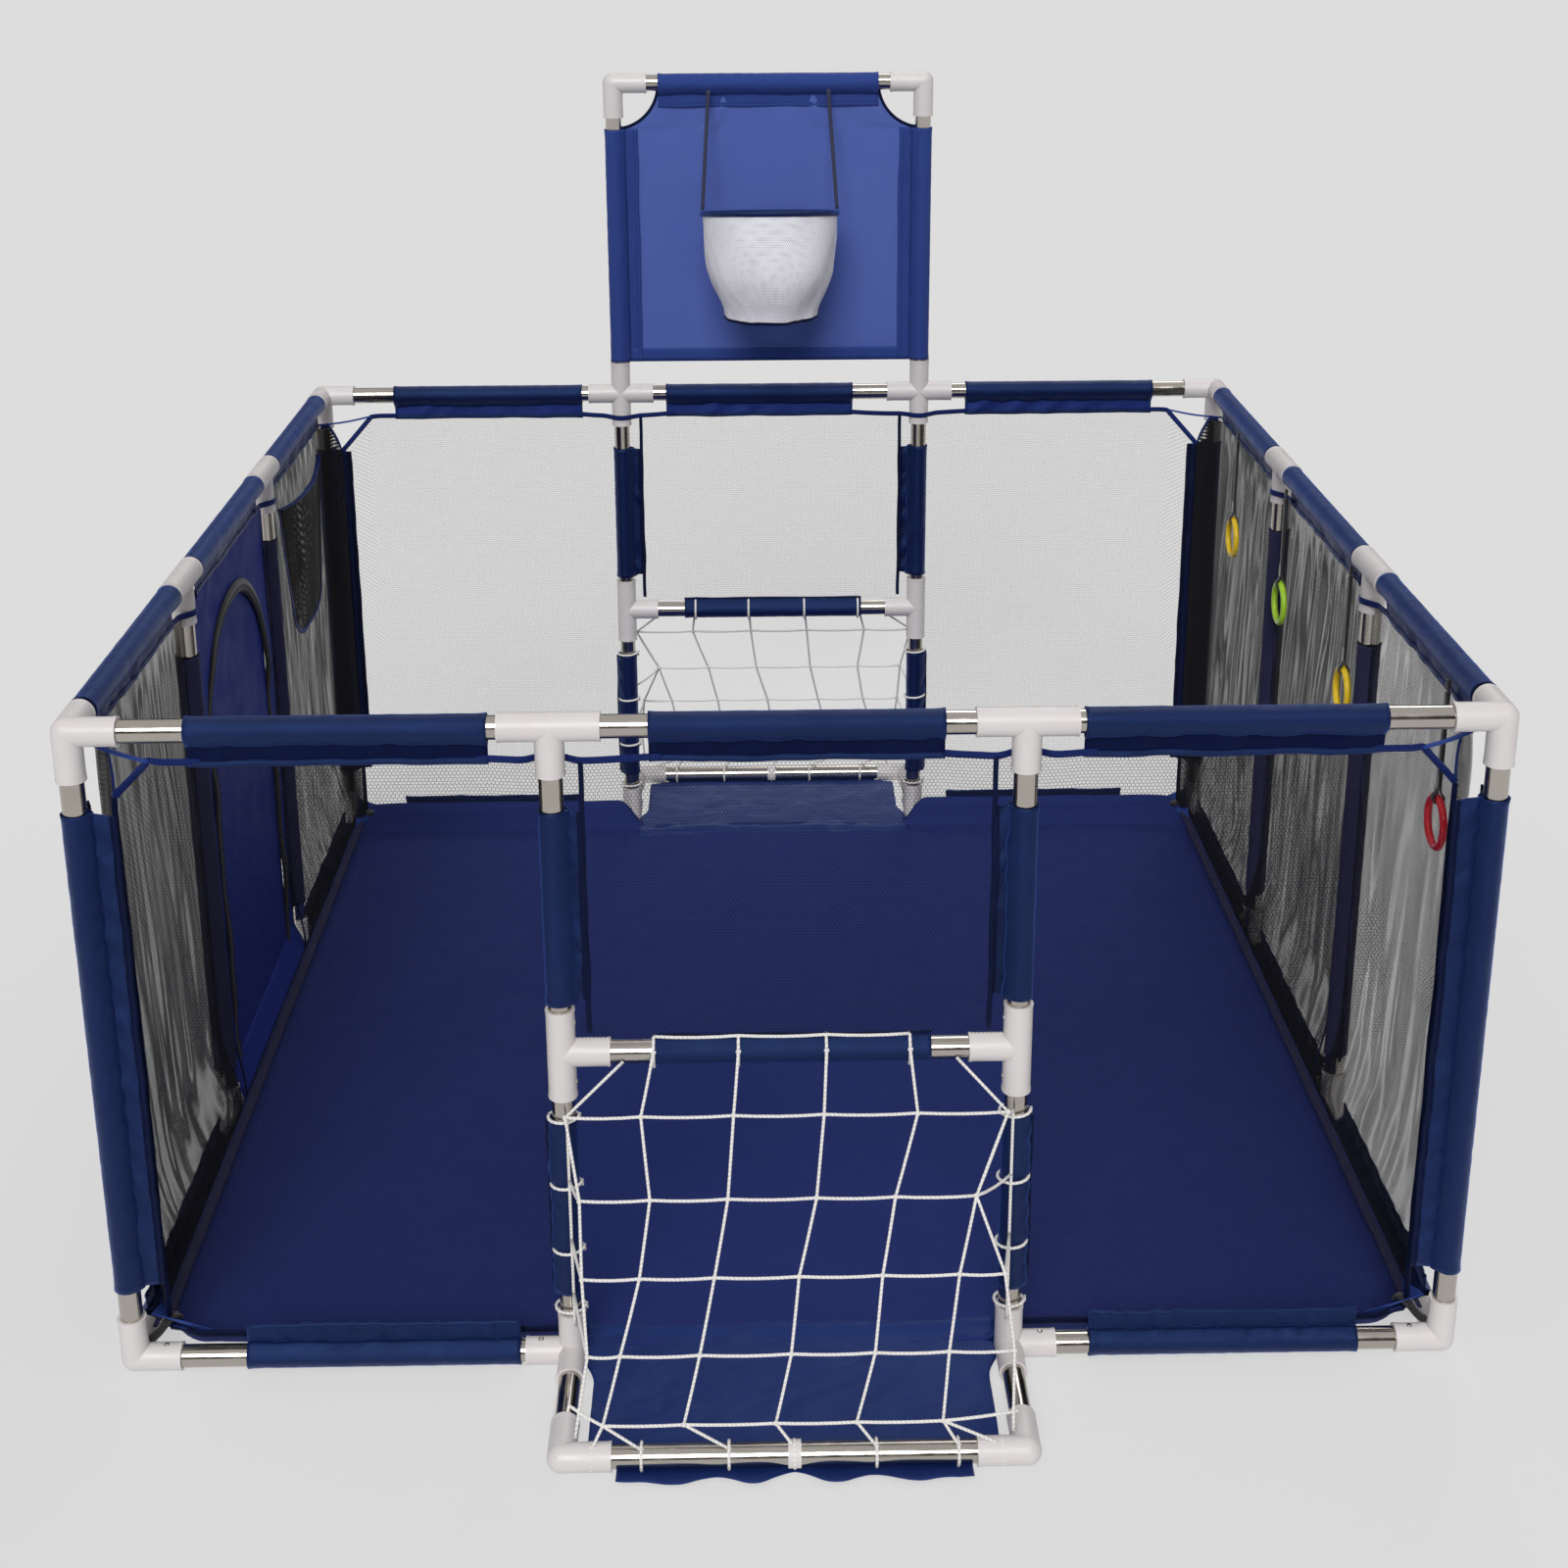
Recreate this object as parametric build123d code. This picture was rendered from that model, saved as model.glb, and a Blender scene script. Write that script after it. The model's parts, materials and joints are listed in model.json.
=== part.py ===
from build123d import *
import os
from math import cos, radians, sin, sqrt

# A square children's play yard: steel tubes pushed into moulded connectors, fabric walls laced
# over the tubes by sleeves, a goal in the middle bay of the front and of the rear, a basketball
# backboard above the rear wall, a zip door on the left and hand rings on the right.
# Millimetres. The origin is on the ground, under the middle. +Z is up, the front is at -Y.

# ---- driving dimensions ---------------------------------------------------------------------
SIDE = 1280.0                    # corner post to corner post, both ways
BAYS = 3                         # equal bays on each side
TOP_Z = 670.0                    # centre of the top rails
CROSSBAR_Z = 343.0               # centre of the goal crossbars
BOARD_TOP_Z = 1105.0             # centre of the backboard's top tube
GOAL_DEPTH = 155.0               # how far each goal's foot stands out from its wall

TUBE_R = 11.0
TUBE_WALL = 0.8
SOCKET_R = 13.5                  # outside of a connector's sockets
SOCKET_REACH = 46.0              # from a connector's centre to a socket's mouth
SOCKET_STOP = 15.0               # a tube ends this far from the connector's centre
FIT_GAP = 0.1                    # radial gap between a tube and its socket
LIP_R = 13.9                     # the moulded rim at a socket's mouth
LIP_LENGTH = 3.0
FOOT_CUT = 0.3                   # depth of the flat under each connector that stands on the ground

FABRIC = 1.6                     # a wall panel, as a plain closed solid
SLEEVE_GAP = 0.2
SLEEVE_SKIN = 1.0
FLAP = 2.0                       # two layers of sleeve cloth stitched together
HEM_Z = 638.0                    # lower edge of the top sleeves' flaps, top of the wall panels
SKIRT_Z = 58.0                   # upper edge of the bottom sleeves' flaps, bottom of the panels
CORNER_FLAP = 34.0               # from a corner post's centre to its flap's edge
POST_FLAP = 25.0                 # from a middle post's centre to its flap's edge
POST_EDGE = 15.0                 # from a middle post's centre to the panel on its plain side
CLOTH_GAP = 0.4

FLOOR_T = 2.0
FLOOR_HALF = 604.0               # the part of the floor that lies flat on the ground

HOOP_R = 91.0                    # to the middle of the rim's tube
HOOP_TUBE_R = 3.5
HOOP_Z = 941.0
HOOP_TILT = 8.0                  # the cords hold the front of the rim up a little, in degrees
BASKET_DROP = 136.0
BASKET_FOOT_R = 62.0

DOOR_HALF = 147.0                # half the width of the door flap
DOOR_SPRING_Z = 450.0            # where its straight sides turn into the arch
DOOR_TOP_Z = 584.0
DOOR_FOOT_Z = 61.0
ZIP_GAP = 0.8
ZIP_WIDTH = 6.0

RING_R = 25.0                    # to the middle of the ring's bar
RING_BAR_R = 3.8
RING_Z = 508.0
STRAP_X = 632.0
STRAP_TOP_Z = 641.0
STRAP_WIDTH = 10.0

BUTTON_AT = 31.0                 # from a connector's centre to its snap button
BUTTON_R = 2.4
BUTTON_GAP = 0.4

# ---- worked out from them -------------------------------------------------------------------
HALF = SIDE / 2
POST = SIDE / BAYS / 2           # the middle posts' distance from the centre line
BASE_Z = SOCKET_R - FOOT_CUT     # centre of the bottom rails
FOOT_Y = HALF + GOAL_DEPTH       # the goals' front tubes
SLEEVE_R = TUBE_R + SLEEVE_GAP + SLEEVE_SKIN
UP, DOWN = (0, 0, 1), (0, 0, -1)
EAST, WEST, NORTH, SOUTH = (1, 0, 0), (-1, 0, 0), (0, 1, 0), (0, -1, 0)


# ---- building blocks ------------------------------------------------------------------------
def flip(direction):
    """The opposite direction."""
    return tuple(-c for c in direction)


def along(centre, direction, distance):
    """The point that far from centre along direction."""
    return tuple(c + d * distance for c, d in zip(centre, direction))


def rod(centre, direction, start, end, radius):
    """A cylinder on direction, from start to end as measured from centre."""
    return Solid.make_cylinder(radius, end - start, Plane(origin=along(centre, direction, start), z_dir=direction))


def block(low, high):
    """A box from its lowest to its highest corner."""
    size = [h - l for l, h in zip(low, high)]
    middle = [(h + l) / 2 for l, h in zip(low, high)]
    return Pos(*middle) * Box(*size)


def one(shape):
    """The single solid of a boolean's result."""
    solids = shape.solids()
    assert len(solids) == 1, f"expected one solid, found {len(solids)}"
    return solids[0]


def save(node, solids):
    """Writes a node's solids as one STEP file."""
    solids = [one(s) for s in solids]
    shape = solids[0] if len(solids) == 1 else Compound(children=solids)
    shape.label = node
    export_step(shape, f"parts/{node}.step")


# ---- connectors -----------------------------------------------------------------------------
def connector(centre, sockets, on_ground=False, buttons=()):
    """A moulded connector: a hub with a bored socket along each direction. buttons are pairs of a
    socket's direction and the side that its snap button comes out of."""
    body = Pos(*centre) * Sphere(SOCKET_R + FOOT_CUT / 2)
    for direction in sockets:
        body += rod(centre, direction, 0, SOCKET_REACH, SOCKET_R)
        body += rod(centre, direction, SOCKET_REACH - LIP_LENGTH, SOCKET_REACH, LIP_R)
    for direction in sockets:
        body -= rod(centre, direction, SOCKET_STOP, SOCKET_REACH + 1, TUBE_R + FIT_GAP)
    for direction, side in buttons:
        body -= rod(along(centre, direction, BUTTON_AT), side, 0, LIP_R + 1, BUTTON_R + BUTTON_GAP)
    if on_ground:
        x, y, _ = centre
        reach = SOCKET_REACH + 5
        body -= block((x - reach, y - reach, -5), (x + reach, y + reach, 0))
    return body


def corners(z):
    """The four corner points at height z, with the two directions along the walls."""
    for x, toward_x in ((-HALF, EAST), (HALF, WEST)):
        for y, toward_y in ((-HALF, NORTH), (HALF, SOUTH)):
            yield (x, y, z), toward_x, toward_y


GOAL_SIDES = ((-HALF, SOUTH), (HALF, NORTH))           # each goal's wall and the way it stands out
SIDE_WALLS = ((-HALF, EAST), (HALF, WEST))
POSTS = ((-POST, WEST, EAST), (POST, EAST, WEST))      # position, way to the corner, way to the middle


def snap_buttons():
    """The front's snap buttons: node, connector centre, socket direction and side."""
    front = -HALF
    yield "snap_button_corner_left", (-HALF, front, BASE_Z), EAST, UP
    yield "snap_button_corner_right", (HALF, front, BASE_Z), WEST, UP
    for name, (x, outward, inward) in zip(("left", "right"), POSTS):
        yield f"snap_button_base_{name}", (x, front, BASE_Z), outward, UP
        yield f"snap_button_post_{name}_upper", (x, front, CROSSBAR_Z), UP, inward
        yield f"snap_button_post_{name}_lower", (x, front, CROSSBAR_Z), DOWN, inward


def buttons_at(centre):
    """The socket and side of each snap button on the connector at that point."""
    return [(socket, side) for _, where, socket, side in snap_buttons() if where == centre]


def connectors():
    save("corner_connectors_top", [connector(c, (tx, ty, DOWN)) for c, tx, ty in corners(TOP_Z)])
    save("corner_connectors_bottom",
         [connector(c, (tx, ty, UP), True, buttons_at(c)) for c, tx, ty in corners(BASE_Z)])
    tees = [connector((x, -HALF, TOP_Z), (WEST, EAST, DOWN)) for x in (-POST, POST)]
    tees += [connector((x, y, TOP_Z), (SOUTH, NORTH, DOWN)) for x in (-HALF, HALF) for y in (-POST, POST)]
    save("tee_connectors_top", tees)
    save("cross_connectors_rear", [connector((x, HALF, TOP_Z), (WEST, EAST, DOWN, UP)) for x in (-POST, POST)])
    save("goal_tees", [connector((x, y, CROSSBAR_Z), (UP, DOWN, inward), False, buttons_at((x, y, CROSSBAR_Z)))
                       for y, _ in GOAL_SIDES for x, _, inward in POSTS])
    save("goal_base_connectors",
         [connector((x, y, BASE_Z), (UP, outward, forward), True, buttons_at((x, y, BASE_Z)))
          for y, forward in GOAL_SIDES for x, outward, _ in POSTS])
    save("goal_elbows",
         [connector((x, y + forward[1] * GOAL_DEPTH, BASE_Z), (flip(forward), inward), True)
          for y, forward in GOAL_SIDES for x, _, inward in POSTS])
    save("side_base_tees",
         [connector((x, y, BASE_Z), (SOUTH, NORTH, UP), True) for x, _ in SIDE_WALLS for y in (-POST, POST)])
    save("backboard_elbows", [connector((x, HALF, BOARD_TOP_Z), (DOWN, inward)) for x, _, inward in POSTS])


# ---- tubes ----------------------------------------------------------------------------------
def tube(start, end):
    """The tube between the centres of two connectors, drilled for the snap buttons at its ends."""
    way = Vector(*end) - Vector(*start)
    direction, length = tuple(way.normalized()), way.length
    body = rod(start, direction, SOCKET_STOP, length - SOCKET_STOP, TUBE_R)
    body -= rod(start, direction, SOCKET_STOP - 1, length - SOCKET_STOP + 1, TUBE_R - TUBE_WALL)
    for centre, outward in ((start, direction), (end, flip(direction))):
        for socket, side in buttons_at(centre):
            if (Vector(*socket) - Vector(*outward)).length < 1e-6:
                body -= rod(along(centre, socket, BUTTON_AT), side, 0, TUBE_R + 1, BUTTON_R + BUTTON_GAP)
    return body


def run(points):
    """The tubes that join those connector centres one after another."""
    return [tube(a, b) for a, b in zip(points, points[1:])]


def tubes():
    steps = (-HALF, -POST, POST, HALF)
    top, bottom = [], []
    for y in (-HALF, HALF):
        top += run([(x, y, TOP_Z) for x in steps])
        bottom += [tube((-HALF, y, BASE_Z), (-POST, y, BASE_Z)), tube((POST, y, BASE_Z), (HALF, y, BASE_Z))]
    for x in (-HALF, HALF):
        top += run([(x, y, TOP_Z) for y in steps])
        bottom += run([(x, y, BASE_Z) for y in steps])
    save("top_rails", top)
    save("bottom_rails", bottom)
    save("corner_posts", [tube((x, y, BASE_Z), (x, y, TOP_Z)) for x in (-HALF, HALF) for y in (-HALF, HALF)])
    save("side_posts", [tube((x, y, BASE_Z), (x, y, TOP_Z)) for x in (-HALF, HALF) for y in (-POST, POST)])
    places = [(x, y) for y, _ in GOAL_SIDES for x in (-POST, POST)]
    posts = [tube((x, y, CROSSBAR_Z), (x, y, TOP_Z)) for x, y in places]
    save("goal_posts", posts + [tube((x, y, BASE_Z), (x, y, CROSSBAR_Z)) for x, y in places])
    save("goal_crossbars", [tube((-POST, y, CROSSBAR_Z), (POST, y, CROSSBAR_Z)) for y, _ in GOAL_SIDES])
    feet = []
    for y, forward in GOAL_SIDES:
        foot = y + forward[1] * GOAL_DEPTH
        feet += run([(-POST, y, BASE_Z), (-POST, foot, BASE_Z), (POST, foot, BASE_Z), (POST, y, BASE_Z)])
    save("goal_foot_tubes", feet)
    save("backboard_tubes", run([(-POST, HALF, TOP_Z), (-POST, HALF, BOARD_TOP_Z),
                                 (POST, HALF, BOARD_TOP_Z), (POST, HALF, TOP_Z)]))


def net_clips():
    """A split plastic clip round the middle of each goal's foot tube, which holds the net."""
    clips = []
    for y, forward in GOAL_SIDES:
        centre = (-6.0, y + forward[1] * GOAL_DEPTH, BASE_Z)
        clip = rod(centre, EAST, 0, 12.0, TUBE_R + 2.0) - rod(centre, EAST, -1, 13.0, TUBE_R + FIT_GAP)
        clips.append(clip - block((-7.0, centre[1] - 15.0, -5.0), (7.0, centre[1] + 15.0, 6.0)))
    save("net_clips", clips)


# ---- fabric over the tubes ------------------------------------------------------------------
def sleeve(start, end, flap_ways, flap_reach):
    """A cloth tube over a steel one from start to end, with a stitched flap on each given way."""
    way = Vector(*end) - Vector(*start)
    direction, length = tuple(way.normalized()), way.length
    body = rod(start, direction, 0, length, SLEEVE_R)
    for flap_way in flap_ways:
        inner, outer = along(start, flap_way, TUBE_R), along(end, flap_way, flap_reach)
        spread = [FLAP / 2 * (1 - abs(d) - abs(f)) for d, f in zip(direction, flap_way)]
        low = [min(a, b) - s for a, b, s in zip(inner, outer, spread)]
        high = [max(a, b) + s for a, b, s in zip(inner, outer, spread)]
        body += block(low, high)
    return body - rod(start, direction, -1, length + 1, TUBE_R + SLEEVE_GAP)


def rail_sleeves(z, flap_way, flap_reach, front, rear, sides):
    """The sleeves of one level: the spans along X on the front and rear, and along Y on both sides."""
    made = [sleeve((a, -HALF, z), (b, -HALF, z), (flap_way,), flap_reach) for a, b in front]
    made += [sleeve((a, HALF, z), (b, HALF, z), (flap_way,), flap_reach) for a, b in rear]
    made += [sleeve((x, a, z), (x, b, z), (flap_way,), flap_reach) for x in (-HALF, HALF) for a, b in sides]
    return made


def sleeves():
    side_spans = ((-588.0, -264.0), (-164.0, 164.0), (264.0, 588.0))
    save("top_sleeves", rail_sleeves(TOP_Z, DOWN, TOP_Z - HEM_Z,
                                     ((-535.0, -268.0), (-125.0, 140.0), (265.0, 535.0)),
                                     ((-537.0, -269.0), (-149.0, 118.0), (280.0, 548.0)), side_spans))
    save("bottom_sleeves", rail_sleeves(BASE_Z, UP, SKIRT_Z - BASE_Z,
                                        ((-530.0, -264.0), (292.0, 556.0)),
                                        ((-556.0, -292.0), (264.0, 530.0)), side_spans))
    save("corner_post_sleeves", [sleeve(along(c, UP, 93.0 - BASE_Z), along(c, UP, 592.0 - BASE_Z),
                                        (tx, ty), CORNER_FLAP) for c, tx, ty in corners(BASE_Z)])
    save("side_post_sleeves", [sleeve((x, y, 84.0), (x, y, 587.0), (SOUTH if y > 0 else NORTH,), POST_FLAP)
                               for x, _ in SIDE_WALLS for y in (-POST, POST)])
    upper, lower = [], []
    for y, _ in GOAL_SIDES:
        for x, _, inward in POSTS:
            upper.append(sleeve((x, y, 396.0), (x, y, 590.0), (inward,), POST_FLAP))
            lower.append(sleeve((x, y, 84.0), (x, y, 274.0), (flip(inward),), POST_EDGE))
    save("goal_post_sleeves", upper + lower)
    save("crossbar_sleeves", [sleeve((-128.0, y, CROSSBAR_Z), (132.0, y, CROSSBAR_Z), (UP,), 16.0)
                              for y, _ in GOAL_SIDES])


# ---- walls and floor ------------------------------------------------------------------------
def bay_spans():
    """The three spans of wall panel along a side, clear of the posts and their flaps."""
    outer = (-HALF + CORNER_FLAP + CLOTH_GAP, -POST - POST_EDGE - CLOTH_GAP)
    middle = (-POST + POST_FLAP + CLOTH_GAP, POST - POST_FLAP - CLOTH_GAP)
    return outer, middle, (-outer[1], -outer[0])


def panel_y(y, span, low_z, high_z):
    """A wall panel across the front or rear."""
    return block((span[0], y - FABRIC / 2, low_z), (span[1], y + FABRIC / 2, high_z))


def panel_x(x, span, low_z, high_z):
    """A wall panel along the left or right side."""
    return block((x - FABRIC / 2, span[0], low_z), (x + FABRIC / 2, span[1], high_z))


def door_arch(grow):
    """The door's outline in the plane of the left wall, grown by that much on its sides and top: two
    straight sides and an elliptical arch."""
    half, rise = DOOR_HALF + grow, DOOR_TOP_Z - DOOR_SPRING_Z + grow
    plane = Plane(origin=(-HALF, 0, 0), x_dir=(0, 1, 0), z_dir=(1, 0, 0))
    with BuildSketch(plane) as sketch:
        with Locations((0, DOOR_SPRING_Z)):
            Ellipse(half, rise)
        with Locations((0, (DOOR_FOOT_Z + DOOR_SPRING_Z) / 2)):
            Rectangle(2 * half, DOOR_SPRING_Z - DOOR_FOOT_Z)
        with Locations((0, DOOR_FOOT_Z - 100)):
            Rectangle(4 * half, 200, mode=Mode.SUBTRACT)
    return sketch.sketch


def door_plate(grow, thickness):
    """The door's outline as a plate centred on the wall's plane."""
    return extrude(door_arch(grow), amount=thickness / 2, both=True)


def walls():
    front_bay, middle_bay, rear_bay = bay_spans()
    low, high = SKIRT_Z + CLOTH_GAP, HEM_Z - CLOTH_GAP
    above_bar = CROSSBAR_Z + 16.0 + CLOTH_GAP
    for name, y in (("front_wall_mesh", -HALF), ("rear_wall_mesh", HALF)):
        save(name, [panel_y(y, front_bay, low, high), panel_y(y, middle_bay, above_bar, high),
                    panel_y(y, rear_bay, low, high)])
    save("left_wall_mesh", [panel_x(-HALF, front_bay, low, high), panel_x(-HALF, rear_bay, low, high)])
    save("right_wall_mesh", [panel_x(HALF, s, low, high) for s in (front_bay, middle_bay, rear_bay)])
    opening = door_plate(ZIP_GAP + ZIP_WIDTH, 3 * FABRIC)
    save("door_surround", [panel_x(-HALF, middle_bay, low, high) - opening
                           - block((-HALF - 5, -DOOR_HALF, low - 1), (-HALF + 5, DOOR_HALF, DOOR_FOOT_Z + 1))])
    save("zip_tape", [door_plate(ZIP_GAP + ZIP_WIDTH, 2.4) - door_plate(ZIP_GAP, 5.0)])
    save("door_flap", [door_plate(0, FABRIC)])


def wall_pocket():
    """A mesh pocket on the inside of the left wall's rear bay, open at the top."""
    wall_x, depth, skin = -HALF + FABRIC / 2, 14.0, 1.2
    plane = Plane(origin=(wall_x, 0, 0), x_dir=(0, 1, 0), z_dir=(1, 0, 0))

    def pouch(inset):
        with BuildSketch(plane) as sketch:
            top = 602.0 + (40.0 if inset else 0.0)
            Polygon((290 + inset, top), (340 + inset, 405 + inset), (530 - inset, 405 + inset),
                    (570 - inset, top), align=None)
        return sketch.sketch

    body = extrude(pouch(0), amount=depth)
    hollow = Pos(skin, 0, 0) * extrude(pouch(skin), amount=depth - 2 * skin)
    save("wall_pocket", [body - hollow])


def slanted(x_span, y_low, y_high, z_low, z_high, thickness):
    """A slanted strip that rises from y_low at z_low to y_high at z_high, across x_span."""
    with BuildSketch(Plane(origin=(x_span[0], 0, 0), x_dir=(0, 1, 0), z_dir=(1, 0, 0))) as sketch:
        step = thickness if y_high > y_low else -thickness
        Polygon((y_low, z_low), (y_low - step, z_low), (y_high - step, z_high), (y_high, z_high), align=None)
    return extrude(sketch.sketch, amount=x_span[1] - x_span[0])


def floor():
    """The floor lies flat and turns up at its edges to the walls' lower hems."""
    edge, hem, hem_z = FLOOR_HALF, HALF - 14.5, SKIRT_Z - 2.0
    mitre = edge - 2.0
    pieces = [block((-edge, -edge, 0), (edge, edge, FLOOR_T))]
    for span in ((-mitre, -POST - 30.0), (POST + 30.0, mitre)):
        pieces += [slanted(span, way * edge, way * hem, FLOOR_T, hem_z, FLOOR_T) for way in (-1, 1)]
    for quarter in (90, -90):
        pieces.append(Rot(0, 0, quarter) * slanted((-mitre, mitre), edge, hem, FLOOR_T, hem_z, FLOOR_T))
    save("floor_mat", pieces)
    half, tongue = POST - SOCKET_R - 4.0, POST - SOCKET_REACH - 2.0
    near, bar, reach = edge + 0.4, FOOT_Y - LIP_R - 1.0, FOOT_Y + 27.0
    mat = block((-half, near, 0), (half, bar, FLOOR_T)) + block((-tongue, near, 0), (tongue, reach, FLOOR_T))
    save("goal_mats", [mat, Rot(0, 0, 180) * mat])


def corner_straps():
    """A webbing strap at each lower corner, from the fabric's corner to the corner connector."""
    straps = []
    for turn in range(4):
        strap = block((-6.0, -0.8, 0), (6.0, 0.8, 34.0))
        strap = Pos(-HALF + 21.5, -HALF + 21.5, 33.0) * Rot(0, 0, 45) * Rot(0, 0, 90) * Rot(0, 30, 0) \
            * Rot(0, 0, 90) * strap
        straps.append(Rot(0, 0, 90 * turn) * strap)
    save("corner_straps", straps)


# ---- goals, backboard and hoop --------------------------------------------------------------
def goal_net(way):
    """One goal's net: a slope from the crossbar to the foot tube, and a triangle on each side."""
    top_y, foot_y = HALF + SOCKET_R + 1.0, FOOT_Y
    top_z, foot_z, cord = CROSSBAR_Z - 4.0, BASE_Z + SOCKET_R + 3.0, 4.0
    half = POST - SOCKET_R - 1.0

    def plate(points, x, width):
        with BuildSketch(Plane(origin=(x, 0, 0), x_dir=(0, 1, 0), z_dir=(1, 0, 0))) as sketch:
            Polygon(*[(way * y, z) for y, z in points], align=None)
        return extrude(sketch.sketch, amount=width)

    slope = plate([(top_y, top_z), (top_y + cord, top_z), (foot_y + cord, foot_z), (foot_y, foot_z)],
                  -half, 2 * half)
    side = [(top_y, top_z - 25.0), (foot_y - 18.0, foot_z), (top_y, foot_z)]
    return [slope, plate(side, -half - cord, cord), plate(side, half, cord)]


def backboard():
    """The backboard's cloth: a panel between the posts, sleeved over both posts and the top tube,
    with its upper corners cut away round the elbows."""
    shoulder, top_half = 1043.0, 152.0
    foot = TOP_Z + SOCKET_REACH + 2.0
    plane = Plane(origin=(0, HALF, 0), x_dir=(1, 0, 0), z_dir=(0, -1, 0))
    with BuildSketch(plane) as sketch:
        with BuildLine():
            Polyline((-POST + 4, shoulder), (-POST + 4, foot), (POST - 4, foot), (POST - 4, shoulder))
            Spline((POST - 4, shoulder), (top_half + 14, BOARD_TOP_Z - 26), (top_half, BOARD_TOP_Z - 4))
            Line((top_half, BOARD_TOP_Z - 4), (-top_half, BOARD_TOP_Z - 4))
            Spline((-top_half, BOARD_TOP_Z - 4), (-top_half - 14, BOARD_TOP_Z - 26), (-POST + 4, shoulder))
        make_face()
    body = extrude(sketch.sketch, amount=FLAP / 2, both=True)
    body += rod((-top_half, HALF, BOARD_TOP_Z), EAST, 0, 2 * top_half, SLEEVE_R)
    for x in (-POST, POST):
        body += rod((x, HALF, foot), UP, 0, shoulder - foot, SLEEVE_R)
    for x in (-POST, POST):
        body -= rod((x, HALF, foot - 10), UP, 0, shoulder - foot + 30, TUBE_R + SLEEVE_GAP)
    body -= rod((-POST, HALF, BOARD_TOP_Z), EAST, 0, 2 * POST, TUBE_R + SLEEVE_GAP)
    save("backboard_panel", [body])


def hoop():
    """The rim, the basket under it and the cords that hold its front up."""
    centre_y = HALF - 4.5 - HOOP_TUBE_R - HOOP_R
    tilt = Pos(0, centre_y, HOOP_Z) * Rot(-HOOP_TILT, 0, 0)
    save("hoop_rim", [tilt * Torus(HOOP_R, HOOP_TUBE_R)])
    skin, low, high = 1.4, HOOP_Z - HOOP_TUBE_R - BASKET_DROP, HOOP_Z + 12.0
    standing = (Align.CENTER, Align.CENTER, Align.MIN)
    basket = Pos(0, centre_y, low) * Cone(BASKET_FOOT_R, HOOP_R, high - low, align=standing)
    basket -= Pos(0, centre_y, low) * Cone(BASKET_FOOT_R - skin, HOOP_R - skin, high - low, align=standing)
    basket -= tilt * block((-120.0, -120.0, -HOOP_TUBE_R - 0.1), (120.0, 120.0, 60.0))
    save("hoop_basket", [basket])
    cords = []
    for x in (-1, 1):
        foot = (x * HOOP_R, centre_y, HOOP_Z + HOOP_TUBE_R + 1.6)
        head = (x * 82.0, HALF - SLEEVE_R - 2.0, BOARD_TOP_Z - 8.0)
        way = Vector(*head) - Vector(*foot)
        cords.append(Solid.make_cylinder(1.4, way.length, Plane(origin=foot, z_dir=way.normalized())))
    save("hoop_cords", cords)


# ---- hand rings, zip slider and snap buttons ------------------------------------------------
RINGS = (("rear", 440.0), ("mid_rear", 158.0), ("mid_front", -150.0), ("front", -508.0))


def hand_rings():
    """Each ring hangs from a webbing strap, whose lower end is sewn into a loop round the ring."""
    loop_z = RING_Z + RING_R
    half = STRAP_WIDTH / 2
    for name, y in RINGS:
        ring = Pos(STRAP_X, y, RING_Z) * Rot(0, 90, 0) * Torus(RING_R, RING_BAR_R)
        loop = rod((STRAP_X, y, loop_z), NORTH, -half, half, RING_BAR_R + 2.3)
        loop += block((STRAP_X - 1.2, y - half, loop_z + 4), (STRAP_X + 1.2, y + half, STRAP_TOP_Z + 2))
        loop -= rod((STRAP_X, y, loop_z), NORTH, -half - 1, half + 1, RING_BAR_R + 1.0)
        save(f"ring_strap_{name}", [loop])
        save(f"hand_ring_{name}", [ring])


def zip_slider():
    """The slider on the straight front leg of the zip, and the tab that hangs from its bridge."""
    y = -DOOR_HALF - ZIP_GAP - ZIP_WIDTH / 2 - 1.0
    face = -HALF - 1.2 - 0.4
    low = DOOR_FOOT_Z + 12.0
    body = block((face - 3.0, y - 3.0, low), (face, y + 3.0, low + 11.0))
    arch = (face - 3.0, y, low + 6.0)
    bridge = rod(arch, SOUTH, -1.6, 1.6, 4.0) - rod(arch, SOUTH, -3, 3, 2.6)
    save("zip_slider", [body + (bridge - block((face - 1.0, y - 5, low), (face + 9, y + 5, low + 20)))])
    outer, inner = face - 4.8, face - 3.6
    tab = block((outer, y - 3.5, low - 24.0), (inner, y + 3.5, low + 6.6))
    tab -= block((outer - 1, y - 2.1, low + 1.6), (inner + 1, y + 2.1, low + 5.0))
    save("zip_pull", [tab])


def buttons():
    """Each snap button is a domed pin with a flange that stays inside its tube."""
    for node, centre, socket, side in snap_buttons():
        seat = along(centre, socket, BUTTON_AT)
        pin = rod(seat, side, 8.2, SOCKET_R + 1.1, BUTTON_R)
        tip = pin.edges().sort_by_distance(Vector(*along(seat, side, SOCKET_R + 1.1)))[0]
        pin = fillet(tip, 1.2) + rod(seat, side, 8.2, 9.0, 3.6)
        save(node, [pin])


os.makedirs("parts", exist_ok=True)
connectors()
tubes()
net_clips()
sleeves()
walls()
wall_pocket()
floor()
corner_straps()
save("goal_net_front", goal_net(-1))
save("goal_net_rear", goal_net(1))
backboard()
hoop()
hand_rings()
zip_slider()
buttons()
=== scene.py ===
"""The looks of a square play yard: its cloth, mesh, nets and straps around the tubes of its CAD frame."""
import json
import math

import bpy
from mathutils import Matrix, Vector, noise


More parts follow.
